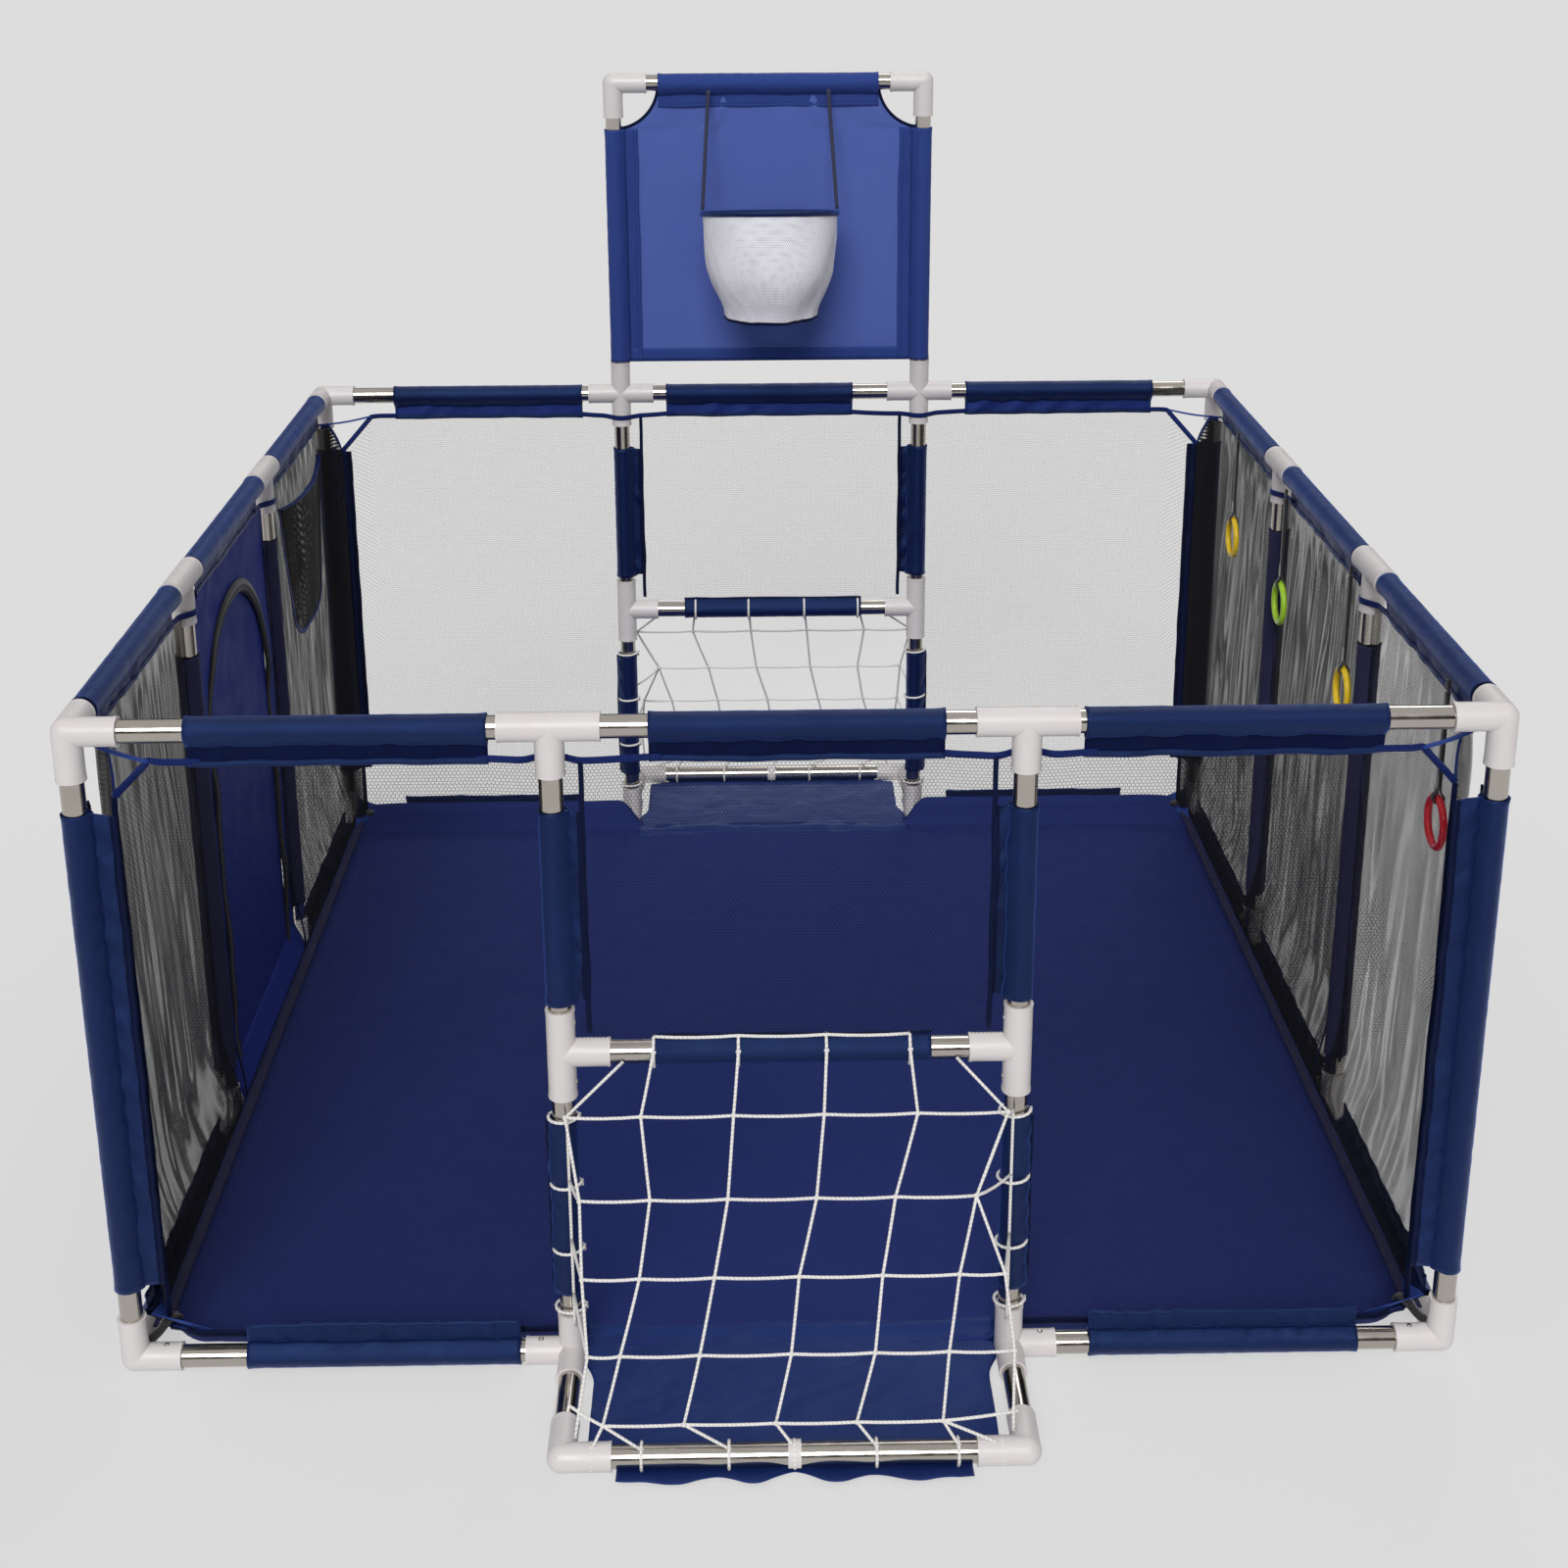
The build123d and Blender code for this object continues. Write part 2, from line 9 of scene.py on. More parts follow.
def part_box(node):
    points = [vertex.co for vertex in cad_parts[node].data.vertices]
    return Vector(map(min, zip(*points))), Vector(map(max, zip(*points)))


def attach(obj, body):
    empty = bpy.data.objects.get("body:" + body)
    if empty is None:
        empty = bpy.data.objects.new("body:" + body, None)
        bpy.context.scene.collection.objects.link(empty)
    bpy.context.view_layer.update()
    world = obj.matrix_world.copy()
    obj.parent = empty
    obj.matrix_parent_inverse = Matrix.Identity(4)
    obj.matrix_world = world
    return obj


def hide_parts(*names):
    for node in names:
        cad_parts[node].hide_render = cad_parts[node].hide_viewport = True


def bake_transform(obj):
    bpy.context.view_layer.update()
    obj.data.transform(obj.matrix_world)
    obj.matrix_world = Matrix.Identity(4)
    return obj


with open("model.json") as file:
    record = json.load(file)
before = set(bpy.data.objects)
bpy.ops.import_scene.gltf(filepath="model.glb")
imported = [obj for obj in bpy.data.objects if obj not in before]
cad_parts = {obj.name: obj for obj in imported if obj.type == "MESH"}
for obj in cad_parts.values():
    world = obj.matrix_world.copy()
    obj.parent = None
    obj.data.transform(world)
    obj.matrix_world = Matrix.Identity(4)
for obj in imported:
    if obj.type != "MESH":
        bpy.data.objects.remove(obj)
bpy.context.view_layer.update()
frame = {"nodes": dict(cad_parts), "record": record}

show = bpy.context.scene.collection.objects.link
MM = 0.001
X, Y, Z = Vector((1, 0, 0)), Vector((0, 1, 0)), Vector((0, 0, 1))


# ---- sizes read from the frame ---------------
def low(node):
    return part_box(node)[0]


def high(node):
    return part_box(node)[1]


TUBE_R = (high("top_rails").z - low("top_rails").z) / 2
TOP_Z = high("top_rails").z - TUBE_R
BASE_Z = high("bottom_rails").z - TUBE_R
BAR_Z = high("goal_crossbars").z - TUBE_R
BOARD_Z = high("backboard_tubes").z - TUBE_R
HALF = high("top_rails").x - TUBE_R
POST = high("goal_posts").x - TUBE_R
FOOT_Y = high("goal_foot_tubes").y - TUBE_R
WRAP_R = TUBE_R + 1.0 * MM
HEM_Z = low("top_sleeves").z
CORNER_REACH = 34 * MM
POST_REACH = 25 * MM
NARROW_REACH = 15 * MM
SOCKET_R = 13.5 * MM
SKIRT_REACH = 32 * MM            # a bottom sleeve's flap, from the rail's centre
WALL_FOOT = 27 * MM              # the walls' lower hem, drawn in behind the bottom sleeves
WALL_END = HALF - 28 * MM        # where two walls meet, inside the corner post
JUNCTION = HALF - 69 * MM        # where the top edge starts to fall to the corner
CORNER_Z = HEM_Z - 44 * MM       # where it ends, at the top of the corner post's sleeve
OXFORD = 0.9 * MM                # the sleeves' and the door's cloth


# ---- numbers and directions ------------------
def mix(a, b, t):
    return a + (b - a) * t


def steps(a, b, count):
    """Evenly spaced values from a to b."""
    return [mix(a, b, k / count) for k in range(count + 1)]


def smooth(t):
    t = min(1.0, max(0.0, t))
    return t * t * (3 - 2 * t)


def spoke(angle):
    """The level direction at that angle round Z."""
    return Vector((math.cos(angle), math.sin(angle), 0))


def wave(x, y, seed):
    """Smooth noise from -1 to 1 that is the same in every run."""
    return noise.noise(Vector((x, y, 7.31 * seed + 0.37)))


def folds(s, w, pitch, lean, seed):
    """Pleats across s that lean over as w grows: rounded ridges between sharper valleys."""
    a = wave((s + lean * w) / pitch, w / (6 * pitch), seed)
    b = wave((s - lean * w) / (0.45 * pitch), w / (4 * pitch), seed + 11)
    return 1.6 * a - 0.5 * abs(a) + 0.45 * b


# ---- materials -------------------------------
def linear(r, g, b):
    """A linear colour from screen values of 0 to 255."""
    return [c / 12.92 if c <= 0.04045 else ((c + 0.055) / 1.055) ** 2.4 for c in (r / 255, g / 255, b / 255)] + [1]


class Shader:
    """A Principled material whose patterns are made of nodes. Its colours are screen values."""

    def __init__(self, name, colour, rough, **values):
        self.made = bpy.data.materials.new(name)
        self.made.use_nodes = True
        self.tree = self.made.node_tree
        self.base = self.tree.nodes["Principled BSDF"]
        self.colour = linear(*colour)
        self.height = None
        self.put(self.base, "Base Color", self.colour)
        self.put(self.base, "Roughness", rough)
        for socket, value in values.items():
            self.put(self.base, socket.replace("_", " "), value)

    def put(self, node, socket, value):
        if isinstance(value, bpy.types.NodeSocket):
            self.tree.links.new(value, node.inputs[socket])
        else:
            node.inputs[socket].default_value = value

    def node(self, kind, inputs=(), **settings):
        made = self.tree.nodes.new("ShaderNode" + kind)
        for key, value in settings.items():
            setattr(made, key, value)
        for socket, value in dict(inputs).items():
            self.put(made, socket, value)
        return made

    def maths(self, operation, a, b=0.0):
        return self.node("Math", {0: a, 1: b}, operation=operation).outputs[0]

    def vector(self, operation, a, b=(0, 0, 0), output=0):
        return self.node("VectorMath", {0: a, 1: b}, operation=operation).outputs[output]

    def place(self, cloth):
        """The pattern's coordinates in metres: along and across the cloth, or the row frame."""
        if cloth:
            return self.node("UVMap", uv_map="cloth").outputs["UV"]
        return self.node("TexCoord").outputs["Object"]

    def noise(self, where, scale, detail=3.0, stretch=(1, 1, 1)):
        if stretch != (1, 1, 1):
            where = self.vector("MULTIPLY", where, stretch)
        return self.node("TexNoise", {"Vector": where, "Scale": scale, "Detail": detail}).outputs[0]

    def span(self, value, from_low, from_high, to_low, to_high):
        inputs = {"Value": value, "From Min": from_low, "From Max": from_high, "To Min": to_low, "To Max": to_high}
        return self.node("MapRange", inputs).outputs[0]

    def tint(self, factor, second):
        """Mixes a second colour into the base one."""
        mixed = self.node("Mix", data_type="RGBA")
        current = self.base.inputs["Base Color"]
        source = current.links[0].from_socket if current.links else list(self.colour)
        self.put(mixed, "Factor", factor)
        self.put(mixed, 6, source)
        self.put(mixed, 7, linear(*second))
        self.tree.links.new(mixed.outputs[2], current)

    def bump(self, height, distance, strength=1.0):
        inputs = {"Height": height, "Distance": distance, "Strength": strength}
        if self.height is not None:
            inputs["Normal"] = self.height
        self.height = self.node("Bump", inputs).outputs[0]
        self.put(self.base, "Normal", self.height)

    def weave(self, pitch, distance):
        """A plain weave of that thread pitch."""
        where = self.place(True)
        scale = math.pi / 10 / pitch
        warp = self.node("TexWave", {"Vector": where, "Scale": scale}, bands_direction="X").outputs["Fac"]
        weft = self.node("TexWave", {"Vector": where, "Scale": scale}, bands_direction="Y").outputs["Fac"]
        self.bump(self.maths("MAXIMUM", warp, weft), distance)
        return warp

    def net(self, pitch, thread):
        """1 on the threads of a hexagonal net and 0 in its holes. thread is a share of the pitch."""
        root3 = math.sqrt(3)
        where = self.vector("MULTIPLY", self.place(True), (1 / pitch, 1 / pitch, 0))
        where = self.vector("ADD", where, (400, 400 * root3, 0))
        cell, centre = (1, root3, 1), (0.5, root3 / 2, 0)
        first = self.vector("SUBTRACT", self.vector("MODULO", where, cell), centre)
        moved = self.vector("SUBTRACT", where, centre)
        second = self.vector("SUBTRACT", self.vector("MODULO", moved, cell), centre)
        reach = [self.vector("LENGTH", offset, output=1) for offset in (first, second)]
        nearer = self.maths("LESS_THAN", *reach)
        chosen = self.node("Mix", {"Factor": nearer, 4: second, 5: first}, data_type="VECTOR")
        folded = self.vector("ABSOLUTE", chosen.outputs[1])
        slant = self.vector("DOT_PRODUCT", folded, (0.5, root3 / 2, 0), output=1)
        straight = self.vector("DOT_PRODUCT", folded, (1, 0, 0), output=1)
        hole = self.maths("SUBTRACT", 0.5, thread)
        full = self.maths("SUBTRACT", 0.5, self.maths("MULTIPLY", thread, 0.5))
        return self.span(self.maths("MAXIMUM", slant, straight), hole, full, 0, 1)


def cloth_shader(name, colour, rough, light, pitch=0.9 * MM, sheen=0.3, gloss=0.25):
    """Woven coated cloth: a weave, soft creases and slow changes of tone towards a lighter colour."""
    s = Shader(name, colour, rough, Specular_IOR_Level=gloss, Sheen_Weight=sheen, Sheen_Roughness=0.35)
    s.put(s.base, "Sheen Tint", SHEEN_BLUE)
    s.put(s.base, "Specular Tint", GLOSS_BLUE)
    warp = s.weave(pitch, 0.12 * MM)
    row = s.place(False)
    s.tint(s.span(s.noise(row, 7, 4), 0.35, 0.75, 0, 0.2), light)
    s.tint(s.span(warp, 0, 1, 0, 0.08), light)
    s.bump(s.noise(row, 55, 4, (1, 1, 0.45)), 1.6 * MM, 0.5)
    s.put(s.base, "Roughness", s.span(s.noise(row, 30, 3), 0.3, 0.7, rough - 0.07, rough + 0.09))
    return s.made


def net_shader(name, colour, pitch, thread, rough=0.7, gather=0.0):
    """Knitted mesh whose holes are see-through. gather closes the holes along upright streaks."""
    s = Shader(name, colour, rough, Specular_IOR_Level=0.1)
    if gather:
        streaks = s.noise(s.place(True), 34, 3, (1, 0.12, 1))
        thread = s.span(streaks, 0.35, 0.65, thread - gather, thread + gather)
    s.put(s.base, "Alpha", s.net(pitch, thread))
    return s.made


def plastic_shader(name, colour, rough, mark):
    """Moulded plastic with a fine orange-peel skin and faint handling marks."""
    s = Shader(name, colour, rough, Specular_IOR_Level=0.5, Coat_Weight=0.08, Coat_Roughness=0.3)
    row = s.place(False)
    s.tint(s.span(s.noise(row, 18, 5), 0.45, 0.8, 0, 0.5), mark)
    s.bump(s.noise(row, 420, 2), 0.12 * MM, 0.4)
    s.put(s.base, "Roughness", s.span(s.noise(row, 40, 4), 0.3, 0.7, rough - 0.06, rough + 0.12))
    return s.made


def steel_shader(name, colour, rough):
    """Plated tube: drawn lines and a few dull patches."""
    s = Shader(name, colour, rough, Metallic=1.0)
    row = s.place(False)
    s.tint(s.span(s.noise(row, 9, 5), 0.5, 0.8, 0, 0.4), (150, 140, 128))
    s.put(s.base, "Roughness", s.span(s.noise(row, 60, 5), 0.35, 0.75, rough - 0.03, rough + 0.12))
    s.bump(s.noise(row, 900, 1), 0.02 * MM, 0.25)
    return s.made


def rope_shader(name, colour, dark):
    """Twisted cord: slanted strands along its length, with painted shade in the grooves between them."""
    s = Shader(name, colour, 0.75, Specular_IOR_Level=0.25, Sheen_Weight=0.2)
    where = s.place(True)
    twist = s.node("TexWave", {"Vector": where, "Scale": 150.0}, bands_direction="DIAGONAL").outputs["Fac"]
    # Painted shade: darker in the grooves between the strands.
    s.tint(s.span(twist, 0, 0.5, 0.5, 0), dark)
    s.bump(twist, 0.5 * MM, 0.8)
    return s.made


def webbing_shader(name, colour):
    """Ribbed woven tape, with painted highlight on the raised ribs."""
    s = Shader(name, colour, 0.62, Specular_IOR_Level=0.35, Sheen_Weight=0.3)
    row = s.place(False)
    ribs = s.node("TexWave", {"Vector": row, "Scale": 160.0}, bands_direction="Z").outputs["Fac"]
    # Painted highlight: lighter on the raised ribs.
    s.tint(s.span(ribs, 0, 1, 0, 0.2), (60, 60, 68))
    s.bump(ribs, 0.3 * MM, 0.7)
    return s.made


SHEEN_BLUE = linear(90, 130, 235)
GLOSS_BLUE = (0.2, 0.4, 1.0, 1)
NAVY, NAVY_LIGHT = (12, 20, 56), (26, 40, 98)
# The second colour on the next line is painted shade: a darker, greyer navy for cloth facing the unlit inside of the
# yard.
DEEP, PAINTED_SHADE_NAVY = (12, 14, 38), (50, 49, 76)
# The backboard's pale blue is partly its cloth's own colour and partly painted back light shining through the thin
# cloth.
BOARD, BOARD_LIGHT = (80, 98, 170), (104, 122, 190)
FLOOR, FLOOR_LIGHT = (40, 50, 107), (46, 57, 117)
looks = {
    "navy": cloth_shader("navy_oxford", NAVY, 0.4, NAVY_LIGHT, sheen=0.5, gloss=0.6),
    # The front top sleeves' flaps get a darker copy of the navy as painted shade, the rear ones a lighter copy as
    # painted light.
    "painted_shade_front_flap": cloth_shader("painted_shade_front_flap", (9, 13, 46), 0.6, (14, 20, 62), sheen=0.1, gloss=0.2),
    "painted_light_rear_flap": cloth_shader("painted_light_rear_flap", (27, 39, 102), 0.4, (40, 58, 134), sheen=0.5, gloss=0.6),
    # A darker copy of the navy that stands for shade: painted shade.
    "shade": cloth_shader("painted_shade_oxford", PAINTED_SHADE_NAVY, 0.6, (54, 54, 80), sheen=0.0, gloss=0.1),
    "door": cloth_shader("door_oxford", (35, 51, 136), 0.6, (43, 61, 152), sheen=0.0, gloss=0.1),
    # Partly painted back light, as noted above.
    "board": cloth_shader("board_cloth", BOARD, 0.7, BOARD_LIGHT, sheen=0.05),
    "board_side": cloth_shader("board_hem_cloth", (47, 65, 131), 0.6, (62, 80, 147), sheen=0.2),
    "floor": cloth_shader("floor_cloth", FLOOR, 0.75, FLOOR_LIGHT, pitch=1.2 * MM, sheen=0.0, gloss=0.1),
    "satin": cloth_shader("goal_mat_cloth", (20, 35, 90), 0.38, (34, 52, 118), sheen=0.3, gloss=0.6),
    "binding": cloth_shader("navy_binding", DEEP, 0.6, (24, 30, 70), pitch=0.7 * MM, sheen=0.1),
    "tape": cloth_shader("blue_tape", (22, 32, 84), 0.5, (40, 54, 120), pitch=0.7 * MM, sheen=0.3),
    "gusset": cloth_shader("gusset_cloth", (40, 62, 136), 0.5, (74, 100, 176), sheen=0.2),
    "mesh": net_shader("wall_mesh", (40, 40, 46), 3.6 * MM, 0.042),
    "mesh_front": net_shader("front_mesh", (18, 18, 24), 3.6 * MM, 0.065),
    "mesh_side": net_shader("side_mesh", (34, 33, 36), 3.0 * MM, 0.275, gather=0.025),
    "mesh_thin": net_shader("side_mesh_thin", (34, 33, 36), 3.0 * MM, 0.165, gather=0.02),
    "pocket": net_shader("pocket_mesh", (12, 12, 16), 2.6 * MM, 0.3),
    "basket": net_shader("basket_mesh", (244, 243, 250), 2.4 * MM, 0.34),
    "white": plastic_shader("white_plastic", (214, 209, 209), 0.4, (206, 200, 199)),
    "steel": steel_shader("plated_steel", (186, 180, 172), 0.12),
    "button": steel_shader("button_steel", (190, 188, 184), 0.3),
    "rope": rope_shader("net_rope", (238, 236, 234), (190, 186, 182)),
    "webbing": webbing_shader("black_webbing", (16, 16, 20)),
    "zip": webbing_shader("zip_tape", (6, 6, 9)),
    "metal_black": plastic_shader("zip_metal", (11, 11, 15), 0.6, (22, 22, 28)),
    "yellow": plastic_shader("ring_yellow", (250, 212, 40), 0.28, (240, 186, 30)),
    "green": plastic_shader("ring_green", (178, 222, 56), 0.28, (140, 196, 44)),
    "red": plastic_shader("ring_red", (222, 32, 52), 0.28, (190, 20, 44)),
    "cord": webbing_shader("hoop_cord", (16, 22, 60)),
}


# ---- soft pieces -----------------------------
class Cloth:
    """Collects the grids and strips of one soft piece. Its UV map, cloth, is in metres."""

    def __init__(self):
        self.points, self.faces, self.uvs, self.looks = [], [], [], []

    def grid(self, columns, rows, point, size, look=0):
        """point(u, v) places the cloth for u and v from 0 to 1. size is the cloth's width and length."""
        first = len(self.points)
        for i in range(columns + 1):
            for j in range(rows + 1):
                self.points.append(point(i / columns, j / rows))
        for i in range(columns):
            for j in range(rows):
                a = first + i * (rows + 1) + j
                b = a + rows + 1
                self.faces.append((a, b, b + 1, a + 1))
                u = (i / columns * size[0], (i + 1) / columns * size[0])
                v = (j / rows * size[1], (j + 1) / rows * size[1])
                self.uvs += [(u[0], v[0]), (u[1], v[0]), (u[1], v[1]), (u[0], v[1])]
                self.looks.append(look)

    def strip(self, path, half_width, half_thick, face, look=0, closed=False, sides=8):
        """A tape or cord along path, flat across face. face is one direction, or one for each point."""
        first, count, travelled = len(self.points), len(path), [0.0]
        for a, b in zip(path, path[1:]):
            travelled.append(travelled[-1] + (b - a).length)
        for k, here in enumerate(path):
            before = path[k - 1] if k or closed else here
            after = path[(k + 1) % count] if k + 1 < count or closed else here
            ahead = (after - before).normalized()
            normal = face[k] if isinstance(face, list) else face
            side = ahead.cross(normal).normalized()
            normal = side.cross(ahead).normalized()
            for n in range(sides):
                angle = math.tau * (n + 0.5) / sides
                across, up = half_width * math.cos(angle), half_thick * math.sin(angle)
                self.points.append(here + side * across + normal * up)
        girth = math.pi * (half_width + half_thick)
        for k in range(count if closed else count - 1):
            for n in range(sides):
                a, b = first + k * sides, first + (k + 1) % count * sides
                m = (n + 1) % sides
                self.faces.append((a + n, a + m, b + m, b + n))
                u0, v0 = travelled[k], n / sides * girth
                u1 = travelled[k + 1] if k + 1 < count else u0 + (path[0] - path[-1]).length
                v1 = (n + 1) / sides * girth
                self.uvs += [(u0, v0), (u0, v1), (u1, v1), (u1, v0)]
                self.looks.append(look)
        if not closed:
            for start, turn in ((first, -1), (first + (count - 1) * sides, 1)):
                self.faces.append(tuple(start + n for n in range(sides))[::turn])
                self.uvs += [(0, 0)] * sides
                self.looks.append(look)

    def knot(self, centre, radius, look=0):
        """A small round knot."""
        def point(u, v):
            around, up = math.tau * u, math.pi * (v - 0.5)
            r = radius * (1 + 0.12 * math.sin(3 * around + 4 * up))
            return centre + r * (spoke(around) * math.cos(up) + Z * math.sin(up))
        self.grid(10, 6, point, (6 * radius, 3 * radius), look)

    def make(self, name, materials, slot, body="frame", thick=0.0, replaces=()):
        mesh = bpy.data.meshes.new(name)
        mesh.from_pydata(self.points, [], self.faces)
        layer = mesh.uv_layers.new(name="cloth")
        layer.data.foreach_set("uv", [c for uv in self.uvs for c in uv])
        mesh.polygons.foreach_set("material_index", self.looks)
        mesh.polygons.foreach_set("use_smooth", [True] * len(self.faces))
        for look in materials:
            mesh.materials.append(looks[look])
        made = bpy.data.objects.new(name, mesh)
        show(made)
        if thick:
            solid = made.modifiers.new("cloth", "SOLIDIFY")
            solid.thickness, solid.offset = thick, 0
        if body:
            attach(made, body)
        if replaces:
            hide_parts(*replaces)
        return made


def curve(points, count=8):
    """A smooth path through given points."""
    made = []
    ends = [2 * points[0] - points[1]] + list(points) + [2 * points[-1] - points[-2]]
    for a, b, c, d in zip(ends, ends[1:], ends[2:], ends[3:]):
        for t in steps(0, 1, count)[:-1]:
            bend, twist = 2 * a - 5 * b + 4 * c - d, 3 * b - a - 3 * c + d
            made.append(0.5 * (2 * b + (c - a) * t + bend * t * t + twist * t ** 3))
    return made + [points[-1].copy()]


# ---- sleeves ---------------------------------
def sleeve(name, node, start, end, ways, reach, seed, cut=0.0, pleat=22 * MM, depth=2.0 * MM, hem="binding",
           look="navy", flap_look="", gather=0.0, lean=0.35):
    """Cloth sewn round a tube from start to end, with a stitched flap on each way that reaches that
    far from the tube's centre. cut draws the flap's ends in towards its hem, and gather ruffles it."""
    start, end = Vector(start), Vector(end)
    length = (end - start).length
    ahead = (end - start) / length
    made = Cloth()
    columns = max(20, round(length / (4.5 * MM)))
    way = ways[0]
    side = ahead.cross(way)

    def wrap(u, v):
        s, angle = u * length, math.tau * v
        r = WRAP_R + 0.3 * MM
        for other in ways:
            facing = math.cos(angle) * way.dot(other) + math.sin(angle) * side.dot(other)
            lean_in = math.acos(max(-1, min(1, facing)))
            r += 3.4 * MM * math.exp(-((lean_in / 0.42) ** 2))
            r += 0.5 * depth * folds(s, r * lean_in, pleat * 0.8, lean, seed) * math.exp(-((lean_in / 1.1) ** 2))
        r += 0.35 * MM * wave(s / (9 * MM), 3 * math.cos(angle), seed + 3)
        r += 0.7 * MM * (smooth(1 - s / (7 * MM)) + smooth(1 - (length - s) / (7 * MM)))
        return start + ahead * s + (way * math.cos(angle) + side * math.sin(angle)) * max(r, TUBE_R + 0.4 * MM)

    made.grid(columns, 26, wrap, (length, math.tau * WRAP_R))
    for count, way in enumerate(ways):
        side = ahead.cross(way)

        def flap(u, v, lift=0.0):
            w = mix(TUBE_R, reach + 1.2 * MM * wave(u * length / 0.05, 0, seed + 5), v)
            inset = cut * (w - TUBE_R) / (reach - TUBE_R)
            s = mix(inset, length - inset, u)
            ends = smooth(min(u, 1 - u) * length / (18 * MM))
            free = mix(0.35, 1.0, v) * mix(1.0, 0.45, ends * smooth((v - 0.7) / 0.3))
            swing = depth * free * folds(s, w, pleat, lean, seed + count)
            swing += gather * folds(s, 0, 9 * MM, 0.1, seed + 9) * smooth(v / 0.5)
            return start + ahead * s + way * w + side * (swing + lift)

        made.grid(columns, 9, flap, (length, reach), look=2 if flap_look else 0)
        made.strip([flap(u, 1.0) for u in steps(0, 1, columns)], 2.4 * MM, 1.2 * MM, side, look=1)
        stitch = [flap(u, 0.86) for u in steps(0, 1, 2 * columns)]
        for offset in (-0.8 * MM, 0.8 * MM):
            made.strip([p + side * offset for p in stitch], 0.35 * MM, 0.3 * MM, side, look=1, sides=4)
    worn = (look, hem, flap_look) if flap_look else (look, hem)
    return made.make(name, worn, "oxford_fabric", thick=OXFORD, replaces=(node,) if node else ())


FRONT_TOP = ((-535, -268), (-125, 140), (265, 535))
REAR_TOP = ((-537, -269), (-149, 118), (280, 548))
SIDE_TOP = ((-588, -264), (-164, 164), (264, 588))
FRONT_BASE = ((-530, -264), (292, 556))
REAR_BASE = ((-556, -292), (264, 530))
WALLS = {
    "front": (lambda s, z, out=0.0: Vector((s, -HALF - out, z)), FRONT_TOP, FRONT_BASE),
    "rear": (lambda s, z, out=0.0: Vector((s, HALF + out, z)), REAR_TOP, REAR_BASE),
    "left": (lambda s, z, out=0.0: Vector((-HALF - out, s, z)), SIDE_TOP, SIDE_TOP),
    "right": (lambda s, z, out=0.0: Vector((HALF + out, s, z)), SIDE_TOP, SIDE_TOP),
}


def which(x, y):
    """The name of one of four posts: front_left and so on."""
    return ("front" if y < 0 else "rear") + ("_left" if x < 0 else "_right")


def sleeves():
    seed = 1
    for wall, (at, top, base) in WALLS.items():
        for k, (a, b) in enumerate(top):
            # Painted shade darkens the front flaps and painted light brightens the rear ones.
            sleeve(f"top_sleeve_{wall}_{k + 1}", "top_sleeves", at(a * MM, TOP_Z), at(b * MM, TOP_Z), (-Z,),
                   TOP_Z - HEM_Z, seed, depth=2.6 * MM, pleat=26 * MM, hem="navy", lean=0.8,
                   flap_look={"front": "painted_shade_front_flap", "rear": "painted_light_rear_flap"}.get(wall, ""))
            seed += 1
        for k, (a, b) in enumerate(base):
            sleeve(f"bottom_sleeve_{wall}_{k + 1}", "bottom_sleeves", at(a * MM, BASE_Z), at(b * MM, BASE_Z), (Z,),
                   SKIRT_REACH, seed, depth=2.4 * MM, pleat=16 * MM, gather=0.8 * MM, hem="navy", lean=0.3)
            seed += 1
    post_low, post_high = low("corner_post_sleeves").z, high("corner_post_sleeves").z
    for x in (-1, 1):
        for y in (-1, 1):
            sleeve("corner_post_sleeve_" + which(x, y), "corner_post_sleeves", (x * HALF, y * HALF, post_low),
                   (x * HALF, y * HALF, post_high), (-x * X, -y * Y), CORNER_REACH, seed, cut=4 * MM,
                   pleat=17 * MM, depth=2.8 * MM, lean=0.9)
            seed += 1
    post_low, post_high = low("side_post_sleeves").z, high("side_post_sleeves").z
    for x in (-1, 1):
        for y in (-1, 1):
            name = ("left_" if x < 0 else "right_") + ("front" if y < 0 else "rear")
            # The side post sleeves wear the painted-shade cloth, darkened for the shade inside the yard.
            sleeve("side_post_sleeve_" + name, "side_post_sleeves", (x * HALF, y * POST, post_low),
                   (x * HALF, y * POST, post_high), (-y * Y, y * Y), POST_REACH, seed, cut=3 * MM, pleat=24 * MM,
                   lean=0.7, look="shade", hem="shade")
            seed += 1
    sleeve_low, sleeve_high = low("goal_post_sleeves").z, high("goal_post_sleeves").z
    over_tee, under_tee = 53 * MM, 69 * MM
    for y in (-1, 1):
        for x in (-1, 1):
            for part, z0, z1, way, reach in (("upper", BAR_Z + over_tee, sleeve_high, -x * X, POST_REACH),
                                             ("lower", sleeve_low, BAR_Z - under_tee, x * X, NARROW_REACH)):
                sleeve(f"goal_post_sleeve_{which(x, y)}_{part}", "goal_post_sleeves", (x * POST, y * HALF, z0),
                       (x * POST, y * HALF, z1), (way,), reach, seed, cut=3 * MM, pleat=16 * MM, depth=2.8 * MM,
                       lean=0.9)
                seed += 1
        ends = low("crossbar_sleeves").x, high("crossbar_sleeves").x
        sleeve("crossbar_sleeve_" + ("front" if y < 0 else "rear"), "crossbar_sleeves", (ends[0], y * HALF, BAR_Z),
               (ends[1], y * HALF, BAR_Z), (Z,), NARROW_REACH, seed, pleat=26 * MM, depth=0.8 * MM)
        seed += 1


